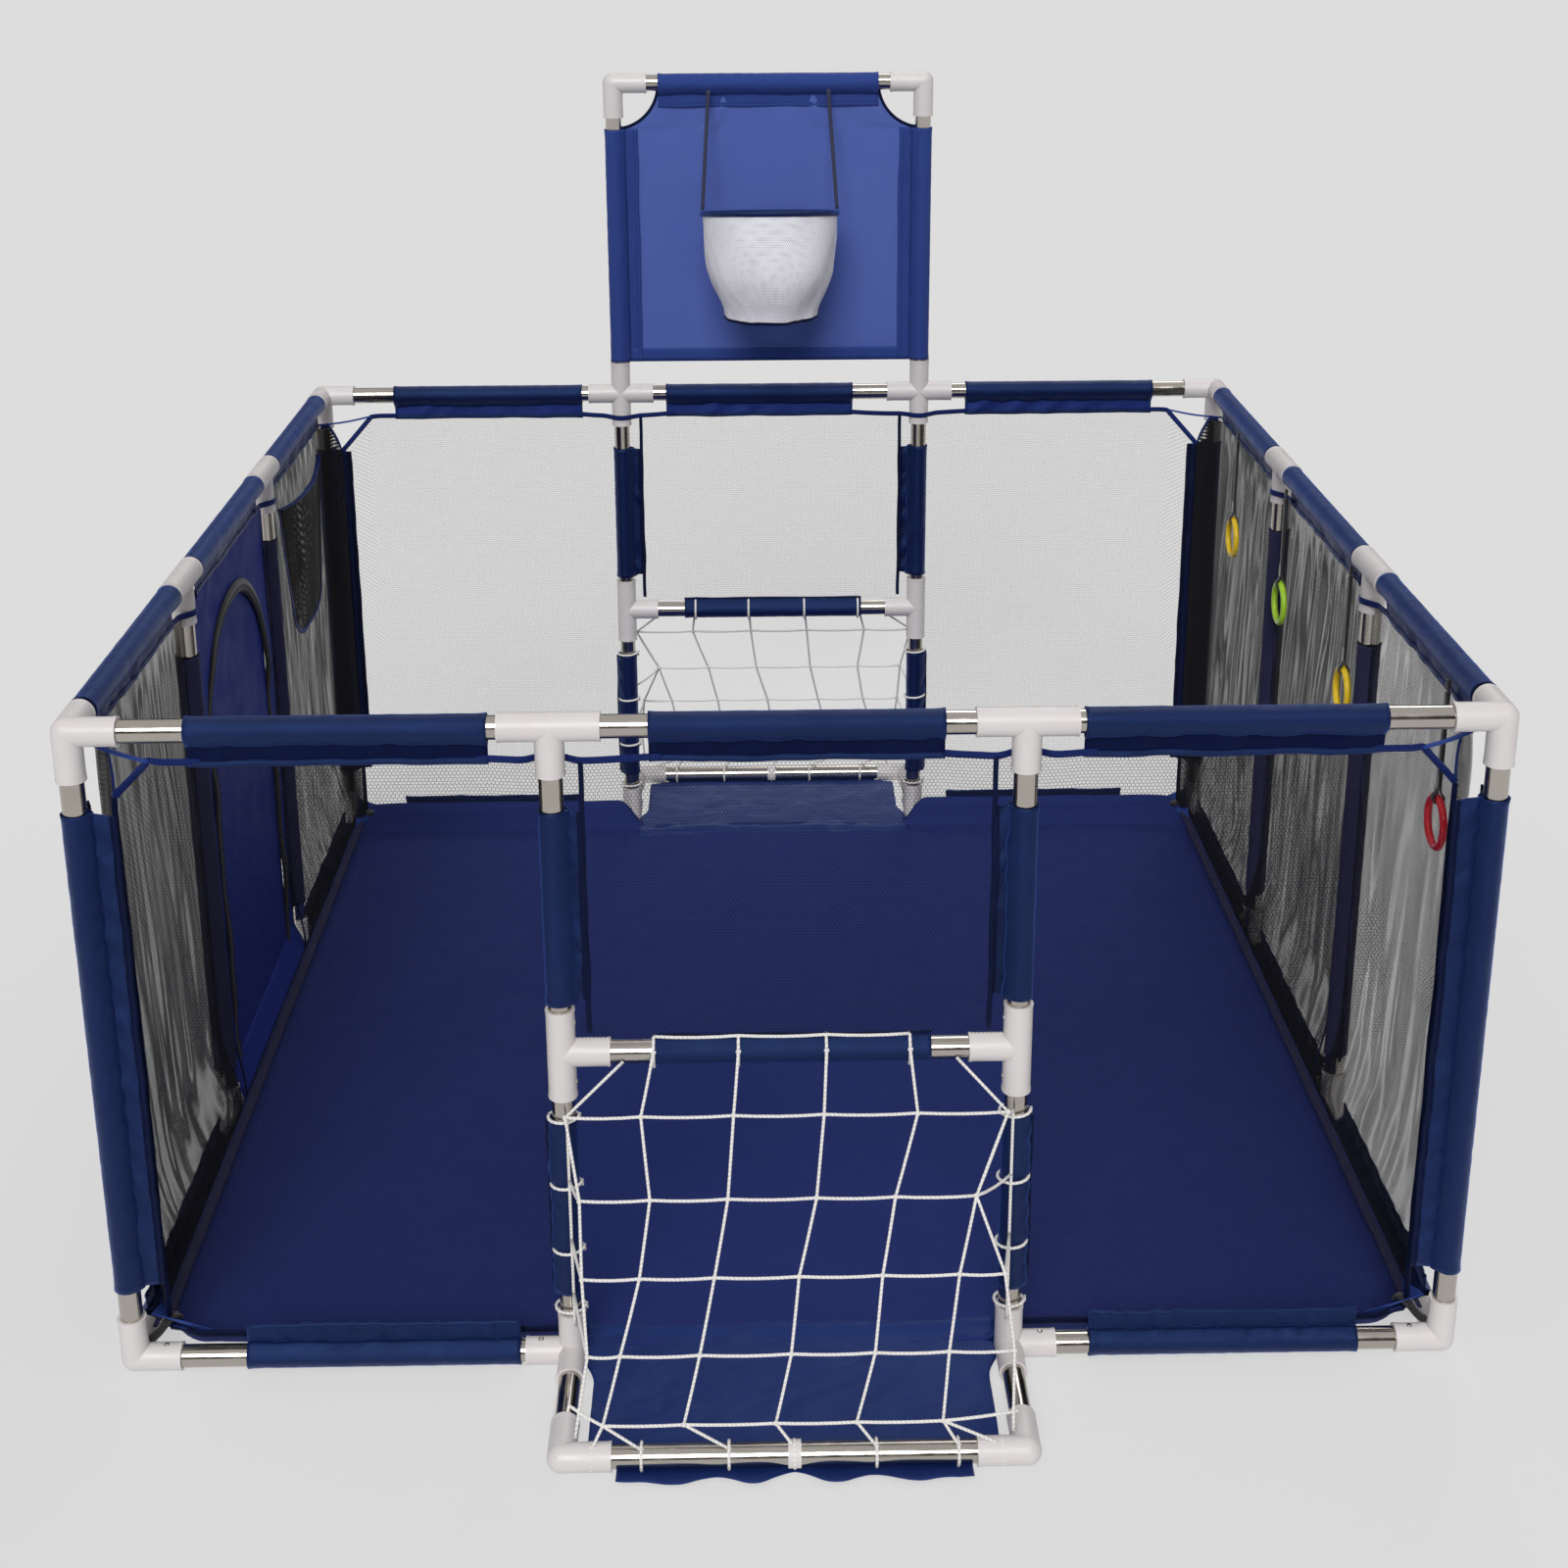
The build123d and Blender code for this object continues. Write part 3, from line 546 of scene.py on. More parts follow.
# ---- walls -----------------------------------
def top_edge(s, spans):
    """Height of a wall's top edge: almost level from one sleeve to the next, then falling from the
    junction beside each corner to the point where two walls meet."""
    first, last = spans[0][0] * MM, spans[-1][1] * MM
    level = HEM_Z + 1 * MM
    fall = max(-first if s < 0 else last, JUNCTION)
    if abs(s) > fall:
        return mix(level, CORNER_Z, min(1.0, (abs(s) - fall) / (WALL_END - fall)))
    for (_, a), (b, _) in zip(spans, spans[1:]):
        if a * MM < s < b * MM:
            t = (s / MM - a) / (b - a)
            return level - 3 * MM * 4 * t * (1 - t)
    return level


def tucked(s, z):
    """How far a wall is drawn in: beside the corner posts and along its lower hem."""
    beside = 28 * MM * smooth((abs(s) - HALF + 84 * MM) / (56 * MM))
    return max(beside, 15 * MM * (1 - smooth((z - WALL_FOOT) / 0.13)))


def wrinkle(s, z, seed, amount, z0, z1):
    """How far a wall's cloth stands out of its plane: long upright folds, gathered at the foot."""
    held = smooth((z - z0) / 0.05) * smooth((z1 - z) / 0.06)
    big = wave(s / 0.12, z / 0.5, seed)
    fine = wave(s / 0.026 + 0.4 * z / 0.1, z / 0.2, seed + 2)
    pulled = wave((s + 0.5 * z) / 0.05, z / 0.07, seed + 4) * (1 - smooth((z - z0) / 0.17))
    return amount * (big + 0.7 * fine + 1.6 * pulled) * (0.12 + 0.88 * held)


def bay(made, at, spans, s0, s1, z0, amount, seed, look=0):
    """One bay of wall cloth between two posts."""
    columns, rows = round((s1 - s0) / (5 * MM)), round((HEM_Z - z0) / (10 * MM))

    def point(u, v):
        s = mix(s0, s1, u)
        top = top_edge(s, spans)
        z = mix(z0, top, v)
        pinned = smooth(min(u, 1 - u) * (s1 - s0) / 0.05)
        return at(s, z, pinned * wrinkle(s, z, seed, amount, z0, top) - tucked(s, z))

    made.grid(columns, rows, point, (s1 - s0, HEM_Z - z0), look)


def walls():
    over_bar = BAR_Z + 14 * MM
    for seed, (wall, (at, spans, _)) in enumerate(WALLS.items()):
        made = Cloth()
        side = wall in ("left", "right")
        amount = (4.2 if side else 1.6) * MM
        bay(made, at, spans, -WALL_END, -POST, WALL_FOOT, amount, 20 + seed, look=int(wall == "right"))
        bay(made, at, spans, POST, WALL_END, WALL_FOOT, amount, 40 + seed)
        if wall == "right":
            bay(made, at, spans, -POST, POST, WALL_FOOT, amount, 60)
        elif wall != "left":
            bay(made, at, spans, -POST, POST, over_bar, amount, 60 + seed)
        look = "mesh_side" if side else "mesh_front" if wall == "front" else "mesh"
        sheet = made.make(wall + "_wall_cloth", (look, "mesh_thin"), "mesh_fabric", thick=2.0 * MM if side else 0.0,
                          replaces=(wall + "_wall_mesh",))
        area = (2 * (WALL_END - POST) + (2 * POST if wall == "right" else 0)) * (HEM_Z - WALL_FOOT)
        if not side:
            area += 2 * POST * (HEM_Z - over_bar)
        bindings(wall, at, spans)


def bindings(wall, at, spans):
    """The tape on a wall's edges: between the sleeves, down to the corners, and beside the posts."""
    made = Cloth()
    face = at(0, 0, 1) - at(0, 0, 0)
    ends = [-WALL_END] + [c * MM for span in spans for c in span] + [WALL_END]
    for a, b in zip(ends[::2], ends[1::2]):
        low_end = a if a == -WALL_END else a - 12 * MM
        high_end = b if b == WALL_END else b + 12 * MM
        path = []
        for s in steps(low_end, high_end, 40):
            z = top_edge(s, spans) + 1 * MM
            passed = 7 * MM * smooth(1 - abs(abs(s) - POST) / (30 * MM))
            path.append(at(s, z, 1.5 * MM * wave(s / 0.03, 0, 3) - tucked(s, z) - 2 * passed))
        made.strip(path, 3.6 * MM, 1.1 * MM, face, look=1)
    start = BAR_Z + 20 * MM if wall in ("front", "rear") else WALL_FOOT
    for side in (-1, 1):
        s = side * (POST - POST_REACH - 2 * MM)
        path = []
        for z in steps(start, top_edge(s, spans), 30):
            shift = 1.5 * MM * wave(z / 0.05, side, 5)
            path.append(at(s + shift, z, 1 * MM * wave(z / 0.04, side, 6) - tucked(s, z)))
        made.strip(path, 2.6 * MM, 1.0 * MM, face)
        s = side * WALL_END
        path = [at(s + 1.5 * MM * wave(z / 0.06, side, 8), z, 1 * MM * wave(z / 0.04, side, 9) - tucked(s, z))
                for z in steps(WALL_FOOT, CORNER_Z, 40)]
        made.strip(path, 3.0 * MM, 1.0 * MM, face)
    path = []
    for s in steps(-WALL_END, WALL_END, 120):
        out = 0.8 * MM * wave(s / 0.03, 0, 13) - tucked(s, WALL_FOOT)
        path.append(at(s, WALL_FOOT + 1.5 * MM * wave(s / 0.07, 0, 12), out))
    if wall in ("left", "right"):
        made.strip(path, 4.0 * MM, 1.0 * MM, face)
        for side in (-1, 1):
            a = at(side * SIDE_TOP[-1][1] * MM, HEM_Z + 2 * MM)
            b = at(side * (HALF - 2 * MM), HEM_Z + 2 * MM, JUNCTION - HALF)
            made.strip(curve([a, a.lerp(b, 0.5) - Z * 2 * MM, b]), 3.6 * MM, 1.1 * MM, Z, look=2)
    else:
        for part in ([p for p in path if p.x < -POST], [p for p in path if p.x > POST]):
            made.strip(part, 4.0 * MM, 1.0 * MM, face)
    made.make(wall + "_wall_binding", ("binding", "tape", "gusset"), "oxford_fabric")


# ---- floor -----------------------------------
def floor():
    reach = HALF - 17 * MM
    opening = POST - 22 * MM
    rise = 15 * MM

    def point(u, v):
        x, y = mix(-reach, reach, u), mix(-reach, reach, v)
        far = (abs(x / reach) ** 36 + abs(y / reach) ** 36) ** (1 / 36)
        if far > 1:
            x, y, far = x / far, y / far, 1.0
        inside = reach * (1 - far)
        up = smooth(1 - inside / rise)
        if abs(y) > abs(x):
            up *= smooth((abs(x) - opening) / (40 * MM))
        rear = smooth((y - abs(x) + 30 * MM) / (60 * MM))
        z = 2 * MM + mix(WALL_FOOT, 42 * MM, rear) * up
        z += 1.6 * MM * (1 + wave(x / 0.2, y / 0.26, 31)) * (1 - up)
        z += 2.2 * MM * abs(wave(x / 0.05, y / 0.05, 33)) * smooth(1 - inside / 0.09) * (1 - 0.6 * up)
        return Vector((x, y, z))

    made = Cloth()
    made.grid(210, 210, point, (2 * reach, 2 * reach))
    sheet = made.make("floor_cloth", ("floor",), "floor_fabric", thick=1.6 * MM, replaces=("floor_mat",))
    made = Cloth()
    for wall in ("left", "right"):
        path = [WALLS[wall][0](mix(-reach, reach, k / 80) * 0.985, WALL_FOOT + 1 * MM,
                               -19 * MM - 1 * MM * wave(k / 5, 0, 35)) for k in range(81)]
        made.strip(path, 1.2 * MM, 9 * MM, X)
    # The edge tape wears the painted-shade cloth.
    made.make("floor_edge_tape", ("shade",), "oxford_fabric")


def goal_mats():
    near = HALF - 62 * MM
    bar, out = FOOT_Y, high("goal_mats").y
    for way, name in ((-1, "front"), (1, "rear")):
        def point(u, v, way=way):
            t = 2 * u - 1
            y = mix(near, out, v)
            past = smooth((y - bar) / (out - bar))
            half = mix(POST - 10 * MM, POST - 22 * MM, smooth((y - HALF) / (40 * MM)))
            half = mix(half, POST - 50 * MM, smooth((y - bar + 14 * MM) / (12 * MM)))
            lobes = 1 - 0.75 * math.cos(2.2 * math.pi * t) ** 2 * (1 - abs(t)) - 0.25 * abs(t) ** 6
            y -= past * (1 - lobes) * (out - bar - 4 * MM)
            under = 1 - smooth((abs(y - bar) - 6 * MM) / (16 * MM))
            loose = smooth((y - near) / 0.03) * smooth(abs(y - bar) / 0.05)
            ripples = abs(wave(t * 3.1 + 2 * v, y / 0.045, 51 + way)) + 0.5 * abs(wave(t * 7, y / 0.03, 53 + way))
            crease = math.exp(-(((y - near - 22 * MM - 8 * MM * wave(t * 1.4, 0, 57)) / (7 * MM)) ** 2))
            z = 3.1 * MM + 5 * MM * ripples * loose + 5 * MM * crease
            z = mix(z, 1.0 * MM, under)
            return Vector((-way * t * half, way * y, z))

        made = Cloth()
        made.grid(110, 80, point, (2 * POST, out - near))
        sheet = made.make(f"goal_mat_{name}", ("satin",), "floor_fabric", thick=0.8 * MM, replaces=("goal_mats",))


def corner_ties():
    """At each lower corner, a triangular gusset between the floor and the walls, and a webbing strap
    from it to the connector."""
    made, straps = Cloth(), Cloth()
    for x in (-1, 1):
        for y in (-1, 1):
            def corner(a, b, z, x=x, y=y):
                return Vector((x * (HALF - a * MM), y * (HALF - b * MM), z * MM))

            inner, tip = corner(34, 34, 30), corner(14, 14, 52)
            for end in (corner(72, 18, 30), corner(18, 72, 30)):
                def point(u, v, end=end, inner=inner, tip=tip, seed=x + 2 * y):
                    along = inner.lerp(tip, u)
                    p = end.lerp(along, smooth(v) * 0.5 + v * 0.5)
                    sag = 5 * MM * math.sin(math.pi * v) * (1 - u)
                    return p - Z * sag + Z * (1.2 * MM * wave(u * 4, v * 4, seed))
                made.grid(14, 14, point, (40 * MM, 60 * MM))
            path = curve([corner(36, 36, 34), corner(28, 28, 36), corner(18, 18, 27), corner(11, 11, 24)], 5)
            straps.strip(path, 6.5 * MM, 0.9 * MM, Vector((x, y, 1.3)))
            straps.strip([p + Z * 1.9 * MM for p in path[:9]], 6.3 * MM, 0.8 * MM, Vector((x, y, 1.3)))
    made.make("corner_gussets", ("gusset",), "oxford_fabric", thick=0.7 * MM)
    straps.make("corner_webbing", ("webbing",), "black_webbing", replaces=("corner_straps",))


# ---- door, zip and pocket --------------------
DOOR_HALF = high("door_flap").y
DOOR_FOOT = low("door_flap").z
DOOR_TOP = high("door_flap").z
DOOR_RISE = 134 * MM
DOOR_SPRING = DOOR_TOP - DOOR_RISE


def door_line(t, grow):
    """The door's outline, from its front foot over the arch to its rear foot, grown outwards: (y, z)."""
    leg = DOOR_SPRING - DOOR_FOOT
    arch = math.pi / 2 * (DOOR_HALF + DOOR_RISE)
    gone = t * (2 * leg + arch)
    if gone < leg:
        return -DOOR_HALF - grow, DOOR_FOOT + gone
    if gone > leg + arch:
        return DOOR_HALF + grow, DOOR_SPRING - (gone - leg - arch)
    angle = math.pi * (gone - leg) / arch
    return -(DOOR_HALF + grow) * math.cos(angle), DOOR_SPRING + (DOOR_RISE + grow) * math.sin(angle)


def door():
    grow = 7 * MM
    side, head = POST - POST_REACH + 4 * MM, HEM_Z + 1 * MM

    def surround(u, v):
        y, z = door_line(u, grow)
        if z <= DOOR_SPRING:
            outer = (math.copysign(side, y), z)
        else:
            dy, dz = y, z - DOOR_SPRING
            k = min(side / abs(dy) if abs(dy) > 1e-6 else 1e9, (head - DOOR_SPRING) / dz)
            outer = (dy * k, DOOR_SPRING + dz * k)
        py, pz = mix(y, outer[0], v), mix(z, outer[1], v)
        out = 1.8 * MM * wave(py / 0.06, pz / 0.13, 71) * smooth(v / 0.3) * smooth((1 - v) / 0.2)
        return Vector((-HALF - out, py, pz))

    made = Cloth()
    made.grid(190, 12, surround, (1.35, 60 * MM))

    def sill(u, v):
        y, z = mix(-side, side, u), mix(WALL_FOOT, DOOR_FOOT + 3 * MM, v)
        return Vector((-HALF + tucked(y, z) * (1 - v), y, z))

    made.grid(70, 6, sill, (2 * side, 36 * MM))
    sheet = made.make("door_bay_cloth", ("door",), "oxford_fabric", thick=OXFORD, replaces=("door_surround",))

    def flap(u, v):
        t = 2 * u - 1
        top = DOOR_SPRING + DOOR_RISE * math.sqrt(max(0.0, 1 - t * t))
        z = mix(DOOR_FOOT, top, v)
        out = 3 * MM * math.cos(math.pi * t / 2)
        out += 2.6 * MM * wave(t * 2.3, z / 0.17, 75) * smooth((1 - abs(t)) / 0.15)
        return Vector((-HALF - out * smooth(v / 0.1), t * DOOR_HALF, z))

    made = Cloth()
    made.grid(70, 110, flap, (2 * DOOR_HALF, DOOR_TOP - DOOR_FOOT))
    edge = [Vector((-HALF - 0.6 * MM, *door_line(t, -2 * MM))) for t in steps(0, 1, 160)]
    made.strip(edge, 2.8 * MM, 1.0 * MM, X, look=1)
    sheet = made.make("door_cloth", ("door", "binding"), "oxford_fabric", body="door", thick=OXFORD,
                      replaces=("door_flap",))

    made = Cloth()
    teeth, inner = 300, -1.6 * MM

    def track(t, off):
        y, z = door_line(t, 4 * MM + off + 2.6 * MM * wave(t * 22, 0, 77))
        return Vector((-HALF + 1.5 * MM - 4.0 * MM * wave(t * 19, 1, 78), y, z))

    made.strip([track(t, 0) for t in steps(0, 1, 420)], 8.0 * MM, 2.8 * MM, X)
    for face in (-1, 1):
        coil = [track(t, inner) + X * (face * 2.6 * MM) for t in steps(0, 1, 420)]
        made.strip(coil, 1.5 * MM, 0.9 * MM, X, look=1)
    for t in steps(0, 1, teeth):
        here = track(t, inner)
        ahead = track(min(1, t + 0.001), inner) - track(max(0, t - 0.001), inner)
        across = ahead.cross(X).normalized() * 1.7 * MM
        made.strip([here - across, here + across], 0.5 * MM, 3.2 * MM, X, look=1, sides=6)
    made.make("door_zip", ("zip", "metal_black"), "zip_black", replaces=("zip_tape",))


def pocket():
    lo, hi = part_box("wall_pocket")
    depth = hi.x - lo.x

    def point(u, v):
        left, right = mix(lo.y, lo.y + 50 * MM, v), mix(hi.y, hi.y - 40 * MM, v)
        rounding = 26 * MM * abs(2 * u - 1) ** 5 * smooth((v - 0.5) / 0.5)
        z = mix(hi.z - 10 * MM * math.sin(math.pi * u), lo.z, v) + rounding
        out = depth * 0.9 * math.sin(math.pi * u) ** 0.7 * math.cos(math.pi * v / 2 * 0.96) ** 0.5
        out += 1.4 * MM * wave(u * 6, v * 2, 81) * math.sin(math.pi * u)
        return Vector((-HALF + 0.8 * MM + max(0.0, out), mix(left, right, u), z))

    made = Cloth()
    made.grid(50, 40, point, (0.25, 0.2))
    sheet = made.make("pocket_cloth", ("pocket",), "mesh_fabric", thick=0.6 * MM, replaces=("wall_pocket",))
    made = Cloth()
    made.strip([point(u, 0) for u in steps(0, 1, 40)], 1.0 * MM, 3.6 * MM, X)
    outline = [point(0, v) for v in steps(0, 1, 20)] + [point(u, 1) for u in steps(0, 1, 30)[1:]]
    outline += [point(1, v) for v in steps(1, 0, 20)[1:]]
    made.strip([p + X * 1 * MM for p in outline], 3.4 * MM, 1.0 * MM, X)
    made.make("pocket_binding", ("tape",), "oxford_fabric")


# ---- goal nets -------------------------------
ROPE_R = 1.5 * MM
NET_ROWS = (
    (0.0, (-127, -48, 34, 112)),
    (0.16, (-209, -139, -53, 31, 118, 202)),
    (0.37, (-196, -131, -59, 23, 96, 171)),
    (0.57, (-194, -141, -72, 6, 83, 154, 196)),
    (0.77, (-189, -159, -86, -2, 75, 143, 203)),
    (0.95, (-175, -101, -17, 57, 136)),
)


def goal_net(way, name):
    head = Vector((0, HALF + WRAP_R + ROPE_R, BAR_Z + 6 * MM))
    foot = Vector((0, FOOT_Y + 4 * MM, BASE_Z + TUBE_R + 5 * MM))
    made = Cloth()

    def place(x, share, sag=0.0):
        p = head.lerp(foot, share)
        return Vector((-way * x, way * p.y, p.z - sag))

    def rope(points, slack=0.0):
        path = [points[0]]
        for a, b in zip(points, points[1:]):
            path += [a.lerp(b, t) - Z * (slack * 4 * t * (1 - t)) for t in (0.25, 0.5, 0.75)] + [b]
        made.strip(path, ROPE_R, ROPE_R, Vector((0.31, way * 0.9, 0.4)), sides=7)

    knots = [[place(x * MM, share, 5 * MM * math.sin(math.pi * share)) for x in xs] for share, xs in NET_ROWS]
    for row in knots[1:-1]:
        rope(row, 1.5 * MM)
    low_row = knots[-1]
    rope([place(-205 * MM, 0.9)] + low_row + [place(205 * MM, 0.93)], 1 * MM)
    over = [p + Vector((0, way * -10 * MM, 11 * MM)) for p in knots[0]]
    rope(over, 1.5 * MM)
    for column in range(5):
        drop = [knots[r][column + 1] for r in range(1, 5)] + [low_row[column]]
        if column < 4:
            drop = [over[column], knots[0][column]] + drop
        rope(drop, 1.2 * MM)
    tie = [place(x * MM, 1.0) - Z * 6 * MM for x in (-186, -140, -60, 0, 75, 150, 190)]
    ends = [low_row[0], low_row[0], low_row[1], low_row[2], low_row[3], low_row[4], low_row[4]]
    for a, b in zip(ends, tie):
        rope([a, b])
    for x in (-1, 1):
        beside = Vector((-way * x * (POST - 4 * MM), way * (HALF + SOCKET_R + 2 * MM), 0))
        post = [beside + Z * (z * MM) for z in (285, 215, 150, 90, 52)]
        edge = [knots[r][0 if x < 0 else -1] for r in range(1, 5)]
        corner = Vector((-way * x * (POST - 58 * MM), way * (HALF + WRAP_R), BAR_Z - 4 * MM))
        rope([corner] + edge + [place(x * 200 * MM, 0.98)])
        rope(post, 1 * MM)
        for knot, p in zip(edge, post):
            rope([knot, p], 3 * MM)
        for z in (272, 200, 128, 62):
            turns = [Vector((-way * x * POST, way * HALF, z * MM)) + (SOCKET_R + 1.6 * MM) * spoke(a * math.tau / 16)
                     + Z * (0.35 * MM * a) for a in range(17)]
            made.strip(turns, ROPE_R, ROPE_R, Z, sides=7)
    for row in knots[:-1]:
        for p in row:
            made.knot(p, 2.6 * MM)
    for p in low_row + tie:
        made.knot(p, 2.4 * MM)
    for points, y, z, r in ((tie, FOOT_Y, BASE_Z, TUBE_R + 1.4 * MM), (knots[0], HALF, BAR_Z, WRAP_R + 2.6 * MM)):
        for p in points:
            ring = [Vector((p.x, way * y + r * math.cos(a), z + r * math.sin(a)))
                    for a in steps(0, math.tau, 14)[:-1]]
            made.strip(ring, ROPE_R, ROPE_R, X, closed=True, sides=7)
    made.make(f"goal_net_rope_{name}", ("rope",), "net_rope", replaces=(f"goal_net_{name}",))


# ---- backboard and hoop ----------------------
def backboard():
    elbow = 62 * MM
    foot, shoulder, head = low("backboard_panel").z, BOARD_Z - elbow, BOARD_Z - 2 * MM

    def half_at(z):
        if z < shoulder:
            return POST - 2 * MM
        return POST - math.sqrt(max(0.0, elbow ** 2 - (BOARD_Z - z) ** 2))

    def point(u, v):
        t, z = 2 * u - 1, mix(foot, head, v)
        out = 2.2 * MM * wave(t * 1.7, v * 2.0, 91) + 1.8 * MM * wave(t * 2 + 2.6 * v, v * 2 - 1.5 * t, 92)
        for x in (-0.4, 0.4):
            pull = math.exp(-(((t - x) / (0.05 + 0.3 * (1 - v))) ** 2)) * v ** 3
            out += 2.6 * MM * pull * math.cos((t - x) * 26)
        out *= smooth((1 - abs(t)) / 0.2) * smooth(v / 0.08) * smooth((1 - v) / 0.09)
        return Vector((t * half_at(z), HALF + 1.3 * MM - out, z))

    made = Cloth()
    made.grid(110, 110, point, (2 * POST, head - foot))
    sheet = made.make("backboard_cloth", ("board",), "oxford_fabric", thick=0.8 * MM, replaces=("backboard_panel",))
    made = Cloth()
    made.grid(80, 4, lambda u, v: point(u, v * 0.045) - Y * 1.4 * MM, (2 * POST, 14 * MM))
    made.strip([point(u, 0) for u in steps(0, 1, 60)], 1.6 * MM, 1.4 * MM, Y)
    for side in (0, 1):
        arc = [point(side, v) for v in steps((shoulder - foot) / (head - foot) - 0.01, 1, 30)]
        made.strip(arc, 2 * MM, 1.2 * MM, Y, look=1)
    made.make("backboard_hems", ("board_side", "binding"), "oxford_fabric", thick=0.6 * MM)
    for x, name in ((-1, "left"), (1, "right")):
        sleeve(f"backboard_sleeve_{name}", None, (x * POST, HALF, foot), (x * POST, HALF, shoulder), (-x * X,),
               30 * MM, 130 + x, pleat=34 * MM, depth=0.9 * MM, hem="board_side", look="board_side")
    sleeve("backboard_sleeve_top", None, (-POST + elbow, HALF, BOARD_Z), (POST - elbow, HALF, BOARD_Z),
           (-Z,), 30 * MM, 133, pleat=24 * MM, depth=0.9 * MM, hem="board_side", look="board_side")


def hoop():
    lo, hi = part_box("hoop_rim")
    centre = (lo + hi) / 2
    tube = 3.5 * MM
    rim_r = (hi.x - lo.x) / 2 - tube
    tilt = math.asin((hi.z - lo.z - 2 * tube) / (2 * rim_r))
    turn = Matrix.Rotation(-tilt, 3, "X")

    def rim(u, v):
        around, across = math.tau * u, math.tau * v
        r = tube * (1 + 0.10 * wave(around * 14, across, 101)) + 0.3 * MM
        return centre + turn @ (spoke(around) * (rim_r + r * math.cos(across)) + Z * (r * math.sin(across)))

    made = Cloth()
    made.grid(160, 14, rim, (math.tau * rim_r, math.tau * tube))
    made.make("hoop_rim_cloth", ("navy",), "oxford_fabric", body="hoop", replaces=("hoop_rim",))

    foot = low("hoop_basket").z
    belly_r, foot_r = 84 * MM, 64 * MM

    def basket(u, v):
        around = math.tau * u
        flat = spoke(around)
        rim_point = turn @ (flat * rim_r)
        slack = smooth(v / 0.3)
        r = mix(rim_r, belly_r, v) - (belly_r - foot_r) * smooth((v - 0.35) / 0.65) ** 2
        r += 2.6 * MM * slack * folds(around * 0.05, v * 0.03, 24 * MM, 1.6, 103)
        z = mix(centre.z + rim_point.z - 1 * MM, foot + 4 * MM * wave(around * 1.6, 0, 105), v)
        return Vector((centre.x + flat.x * r, centre.y + flat.y * r, z))

    made = Cloth()
    made.grid(150, 50, basket, (math.tau * 76 * MM, centre.z - foot))
    sheet = made.make("basket_cloth", ("basket",), "basket_mesh", body="hoop", thick=0.6 * MM,
                      replaces=("hoop_basket",))
    made = Cloth()
    face = [spoke(math.tau * k / 90) for k in range(90)]
    made.strip([basket(k / 90, 1) for k in range(90)], 2.4 * MM, 0.9 * MM, face, closed=True)
    made.make("basket_hem", ("binding",), "oxford_fabric", body="hoop")
    box_low, box_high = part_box("hoop_cords")
    for x, name in ((-1, "left"), (1, "right")):
        top = Vector((x * 82 * MM, HALF - WRAP_R - 3.2 * MM, box_high.z - 1 * MM))
        foot_end = Vector((x * rim_r, centre.y, box_low.z + 1 * MM))
        path = [top.lerp(foot_end, t) for t in steps(0, 1, 24)]
        made = Cloth()
        made.strip(path, 2.6 * MM, 0.9 * MM, Y, sides=10)
        cord = made.make(f"hoop_cord_{name}", ("cord",), "net_rope", body=None, replaces=("hoop_cords",))
        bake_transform(cord)
        [tuple(p) for p in path]


# ---- hand ring straps ------------------------
def straps():
    """Webbing from the rail down to each ring, sewn into a loop round its bar."""
    patches = Cloth()
    for name in ("rear", "mid_rear", "mid_front", "front"):
        lo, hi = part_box("ring_strap_" + name)
        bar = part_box("hand_ring_" + name)[1].z - 3.8 * MM
        x, y, half = (lo.x + hi.x) / 2, (lo.y + hi.y) / 2, (hi.y - lo.y) / 2
        loop = 5.6 * MM
        around = [Vector((x + loop * math.sin(a), y, bar - loop * math.cos(a))) for a in
                  (math.tau * (0.42 - 0.84 * k / 16) for k in range(17))]
        heights = (hi.z - 0.5 * MM, hi.z - 40 * MM, bar + 26 * MM, bar + 12 * MM)
        path = [Vector((x + 1.1 * MM, y, z)) for z in heights]
        path += around + [Vector((x - 1.1 * MM, y, z)) for z in heights[::-1]]
        line = curve(path, 4)
        faces = [(b - a).cross(Y) for a, b in zip([line[0]] + line, line[1:] + [line[-1]])]
        made = Cloth()
        made.strip(line, half, 0.75 * MM, faces)
        for k in range(5):
            z = bar + (11 + 3 * k) * MM
            stitch = [Vector((x - 2.2 * MM, y - half * 0.8, z)), Vector((x - 2.2 * MM, y + half * 0.8, z + 1.5 * MM))]
            made.strip(stitch, 0.4 * MM, 0.3 * MM, X, look=1, sides=4)
        made.make("strap_webbing_" + name, ("webbing", "rope"), "black_webbing", body="strap_" + name,
                  replaces=("ring_strap_" + name,))
        patches.strip([Vector((HALF - 8 * MM, y, hi.z + 12 * MM)), Vector((HALF - 9 * MM, y, hi.z + 5 * MM)),
                       Vector((x, y, hi.z + 1.6 * MM))], half + 1 * MM, 1.1 * MM, X)
    patches.make("strap_patches", ("webbing",), "black_webbing")


# ---- CAD pieces ------------------------------
def paint():
    slots = {"white_plastic": "white", "steel_tube": "steel", "black_webbing": "webbing", "zip_black": "metal_black",
             "ring_yellow": "yellow", "ring_green": "green", "ring_red": "red", "button_steel": "button",
             "oxford_fabric": "navy", "mesh_fabric": "mesh", "floor_fabric": "floor", "net_rope": "rope",
             "basket_mesh": "basket"}
    for part in frame["record"]["subparts"]:
        node = frame["nodes"][part["node"]]
        for slot in node.material_slots:
            slot.material = looks[slots[part["material_slot"]]]


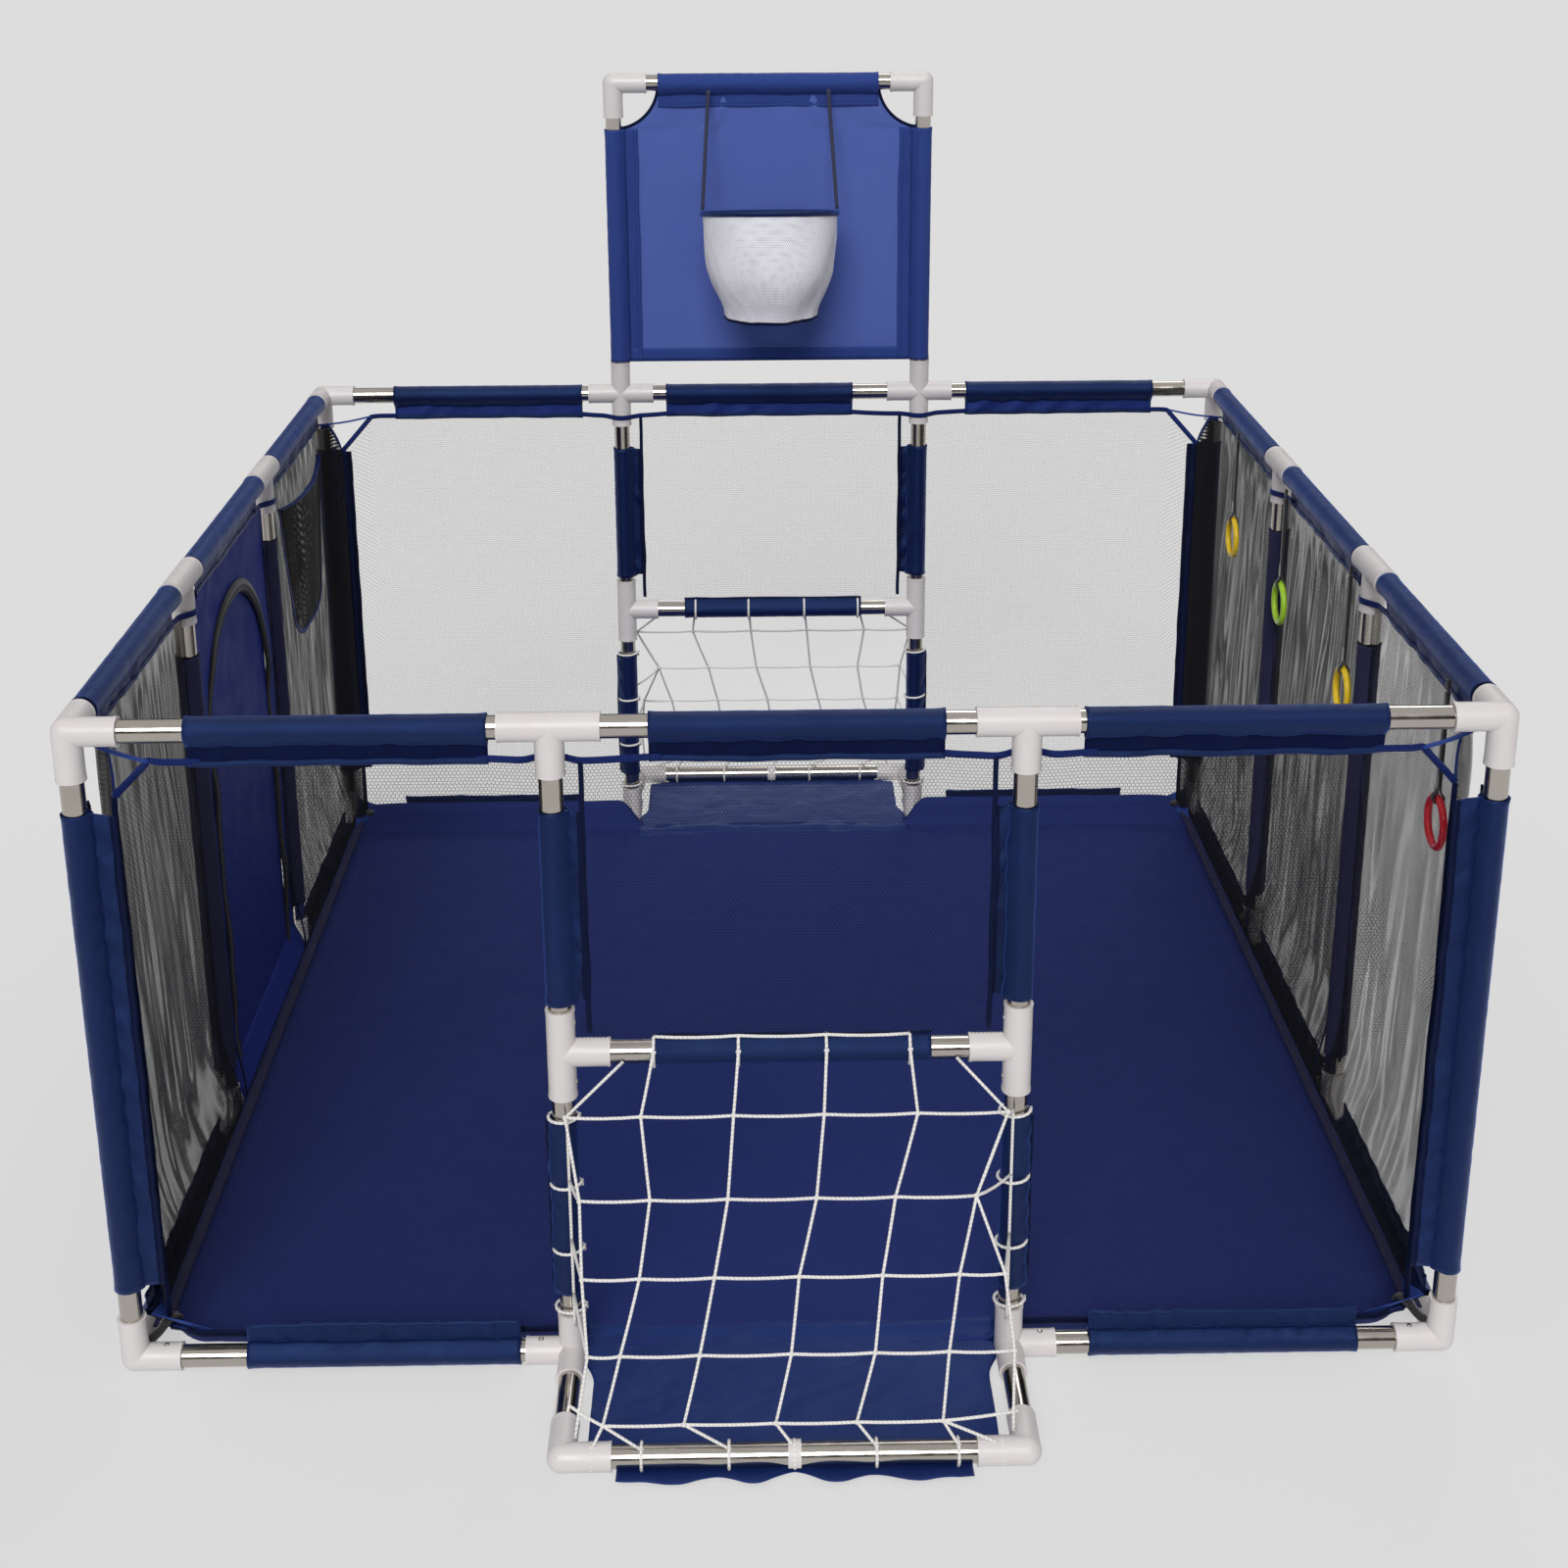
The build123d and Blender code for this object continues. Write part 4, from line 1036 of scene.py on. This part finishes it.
# ---- stage, light and camera -----------------
def stage():
    mesh = bpy.data.meshes.new("ground")
    far = 60.0
    mesh.from_pydata([(-far, -far, 0), (far, -far, 0), (far, far, 0), (-far, far, 0)], [], [(0, 1, 2, 3)])
    ground = bpy.data.objects.new("ground", mesh)
    show(ground)
    ground.location.z = -0.5 * MM
    s = Shader("ground", (0, 0, 0), 0.9, Base_Color=(0.22, 0.22, 0.22, 1), Specular_IOR_Level=0.0,
               Emission_Color=(1, 1, 1, 1), Emission_Strength=0.52)
    mesh.materials.append(s.made)


def lights():
    world = bpy.data.worlds.new("studio")
    bpy.context.scene.world = world
    world.use_nodes = True
    tree = world.node_tree
    back = tree.nodes["Background"]
    where = tree.nodes.new("ShaderNodeTexCoord")
    split = tree.nodes.new("ShaderNodeSeparateXYZ")
    tree.links.new(where.outputs["Generated"], split.inputs[0])
    ramp = tree.nodes.new("ShaderNodeValToRGB")
    tree.links.new(split.outputs["Z"], ramp.inputs[0])
    ramp.color_ramp.elements[0].color = (0.55, 0.53, 0.51, 1)
    ramp.color_ramp.elements[1].color = (1.0, 1.0, 1.0, 1)
    for place, shade in ((0.03, 0.20), (0.12, 0.05), (0.40, 0.10), (0.62, 0.90)):
        element = ramp.color_ramp.elements.new(place)
        element.color = (shade, shade * 0.985, shade * 0.96, 1)
    tree.links.new(ramp.outputs[0], back.inputs["Color"])
    back.inputs["Strength"].default_value = 0.66
    for name, strength, spread, lean, turn in (("key", 2.0, 28, 54, -10), ("rim", 0.35, 20, -48, 14)):
        lamp = bpy.data.lights.new(name, "SUN")
        lamp.energy, lamp.angle = strength, math.radians(spread)
        sun = bpy.data.objects.new(name, lamp)
        sun.rotation_euler = (math.radians(lean), math.radians(turn), 0)
        show(sun)


def camera():
    yaw, pitch, roll = 0.0172, 0.3194, -0.0046
    forward = Vector((math.sin(yaw) * math.cos(pitch), math.cos(yaw) * math.cos(pitch), -math.sin(pitch)))
    right = forward.cross(Z).normalized()
    up = right.cross(forward)
    right, up = right * math.cos(roll) + up * math.sin(roll), up * math.cos(roll) - right * math.sin(roll)
    data = bpy.data.cameras.new("camera")
    data.lens, data.sensor_width, data.shift_y = 51.39, 36, -0.125
    made = bpy.data.objects.new("camera", data)
    made.matrix_world = Matrix((right, up, -forward)).transposed().to_4x4()
    made.location = (-0.0353, -2.4929, 1.4105)
    show(made)
    bpy.context.scene.camera = made
    bpy.context.scene.view_settings.view_transform = "Standard"


paint()
sleeves()
walls()
floor()
goal_mats()
corner_ties()
door()
pocket()
goal_net(-1, "front")
goal_net(1, "rear")
backboard()
hoop()
straps()
stage()
lights()
camera()
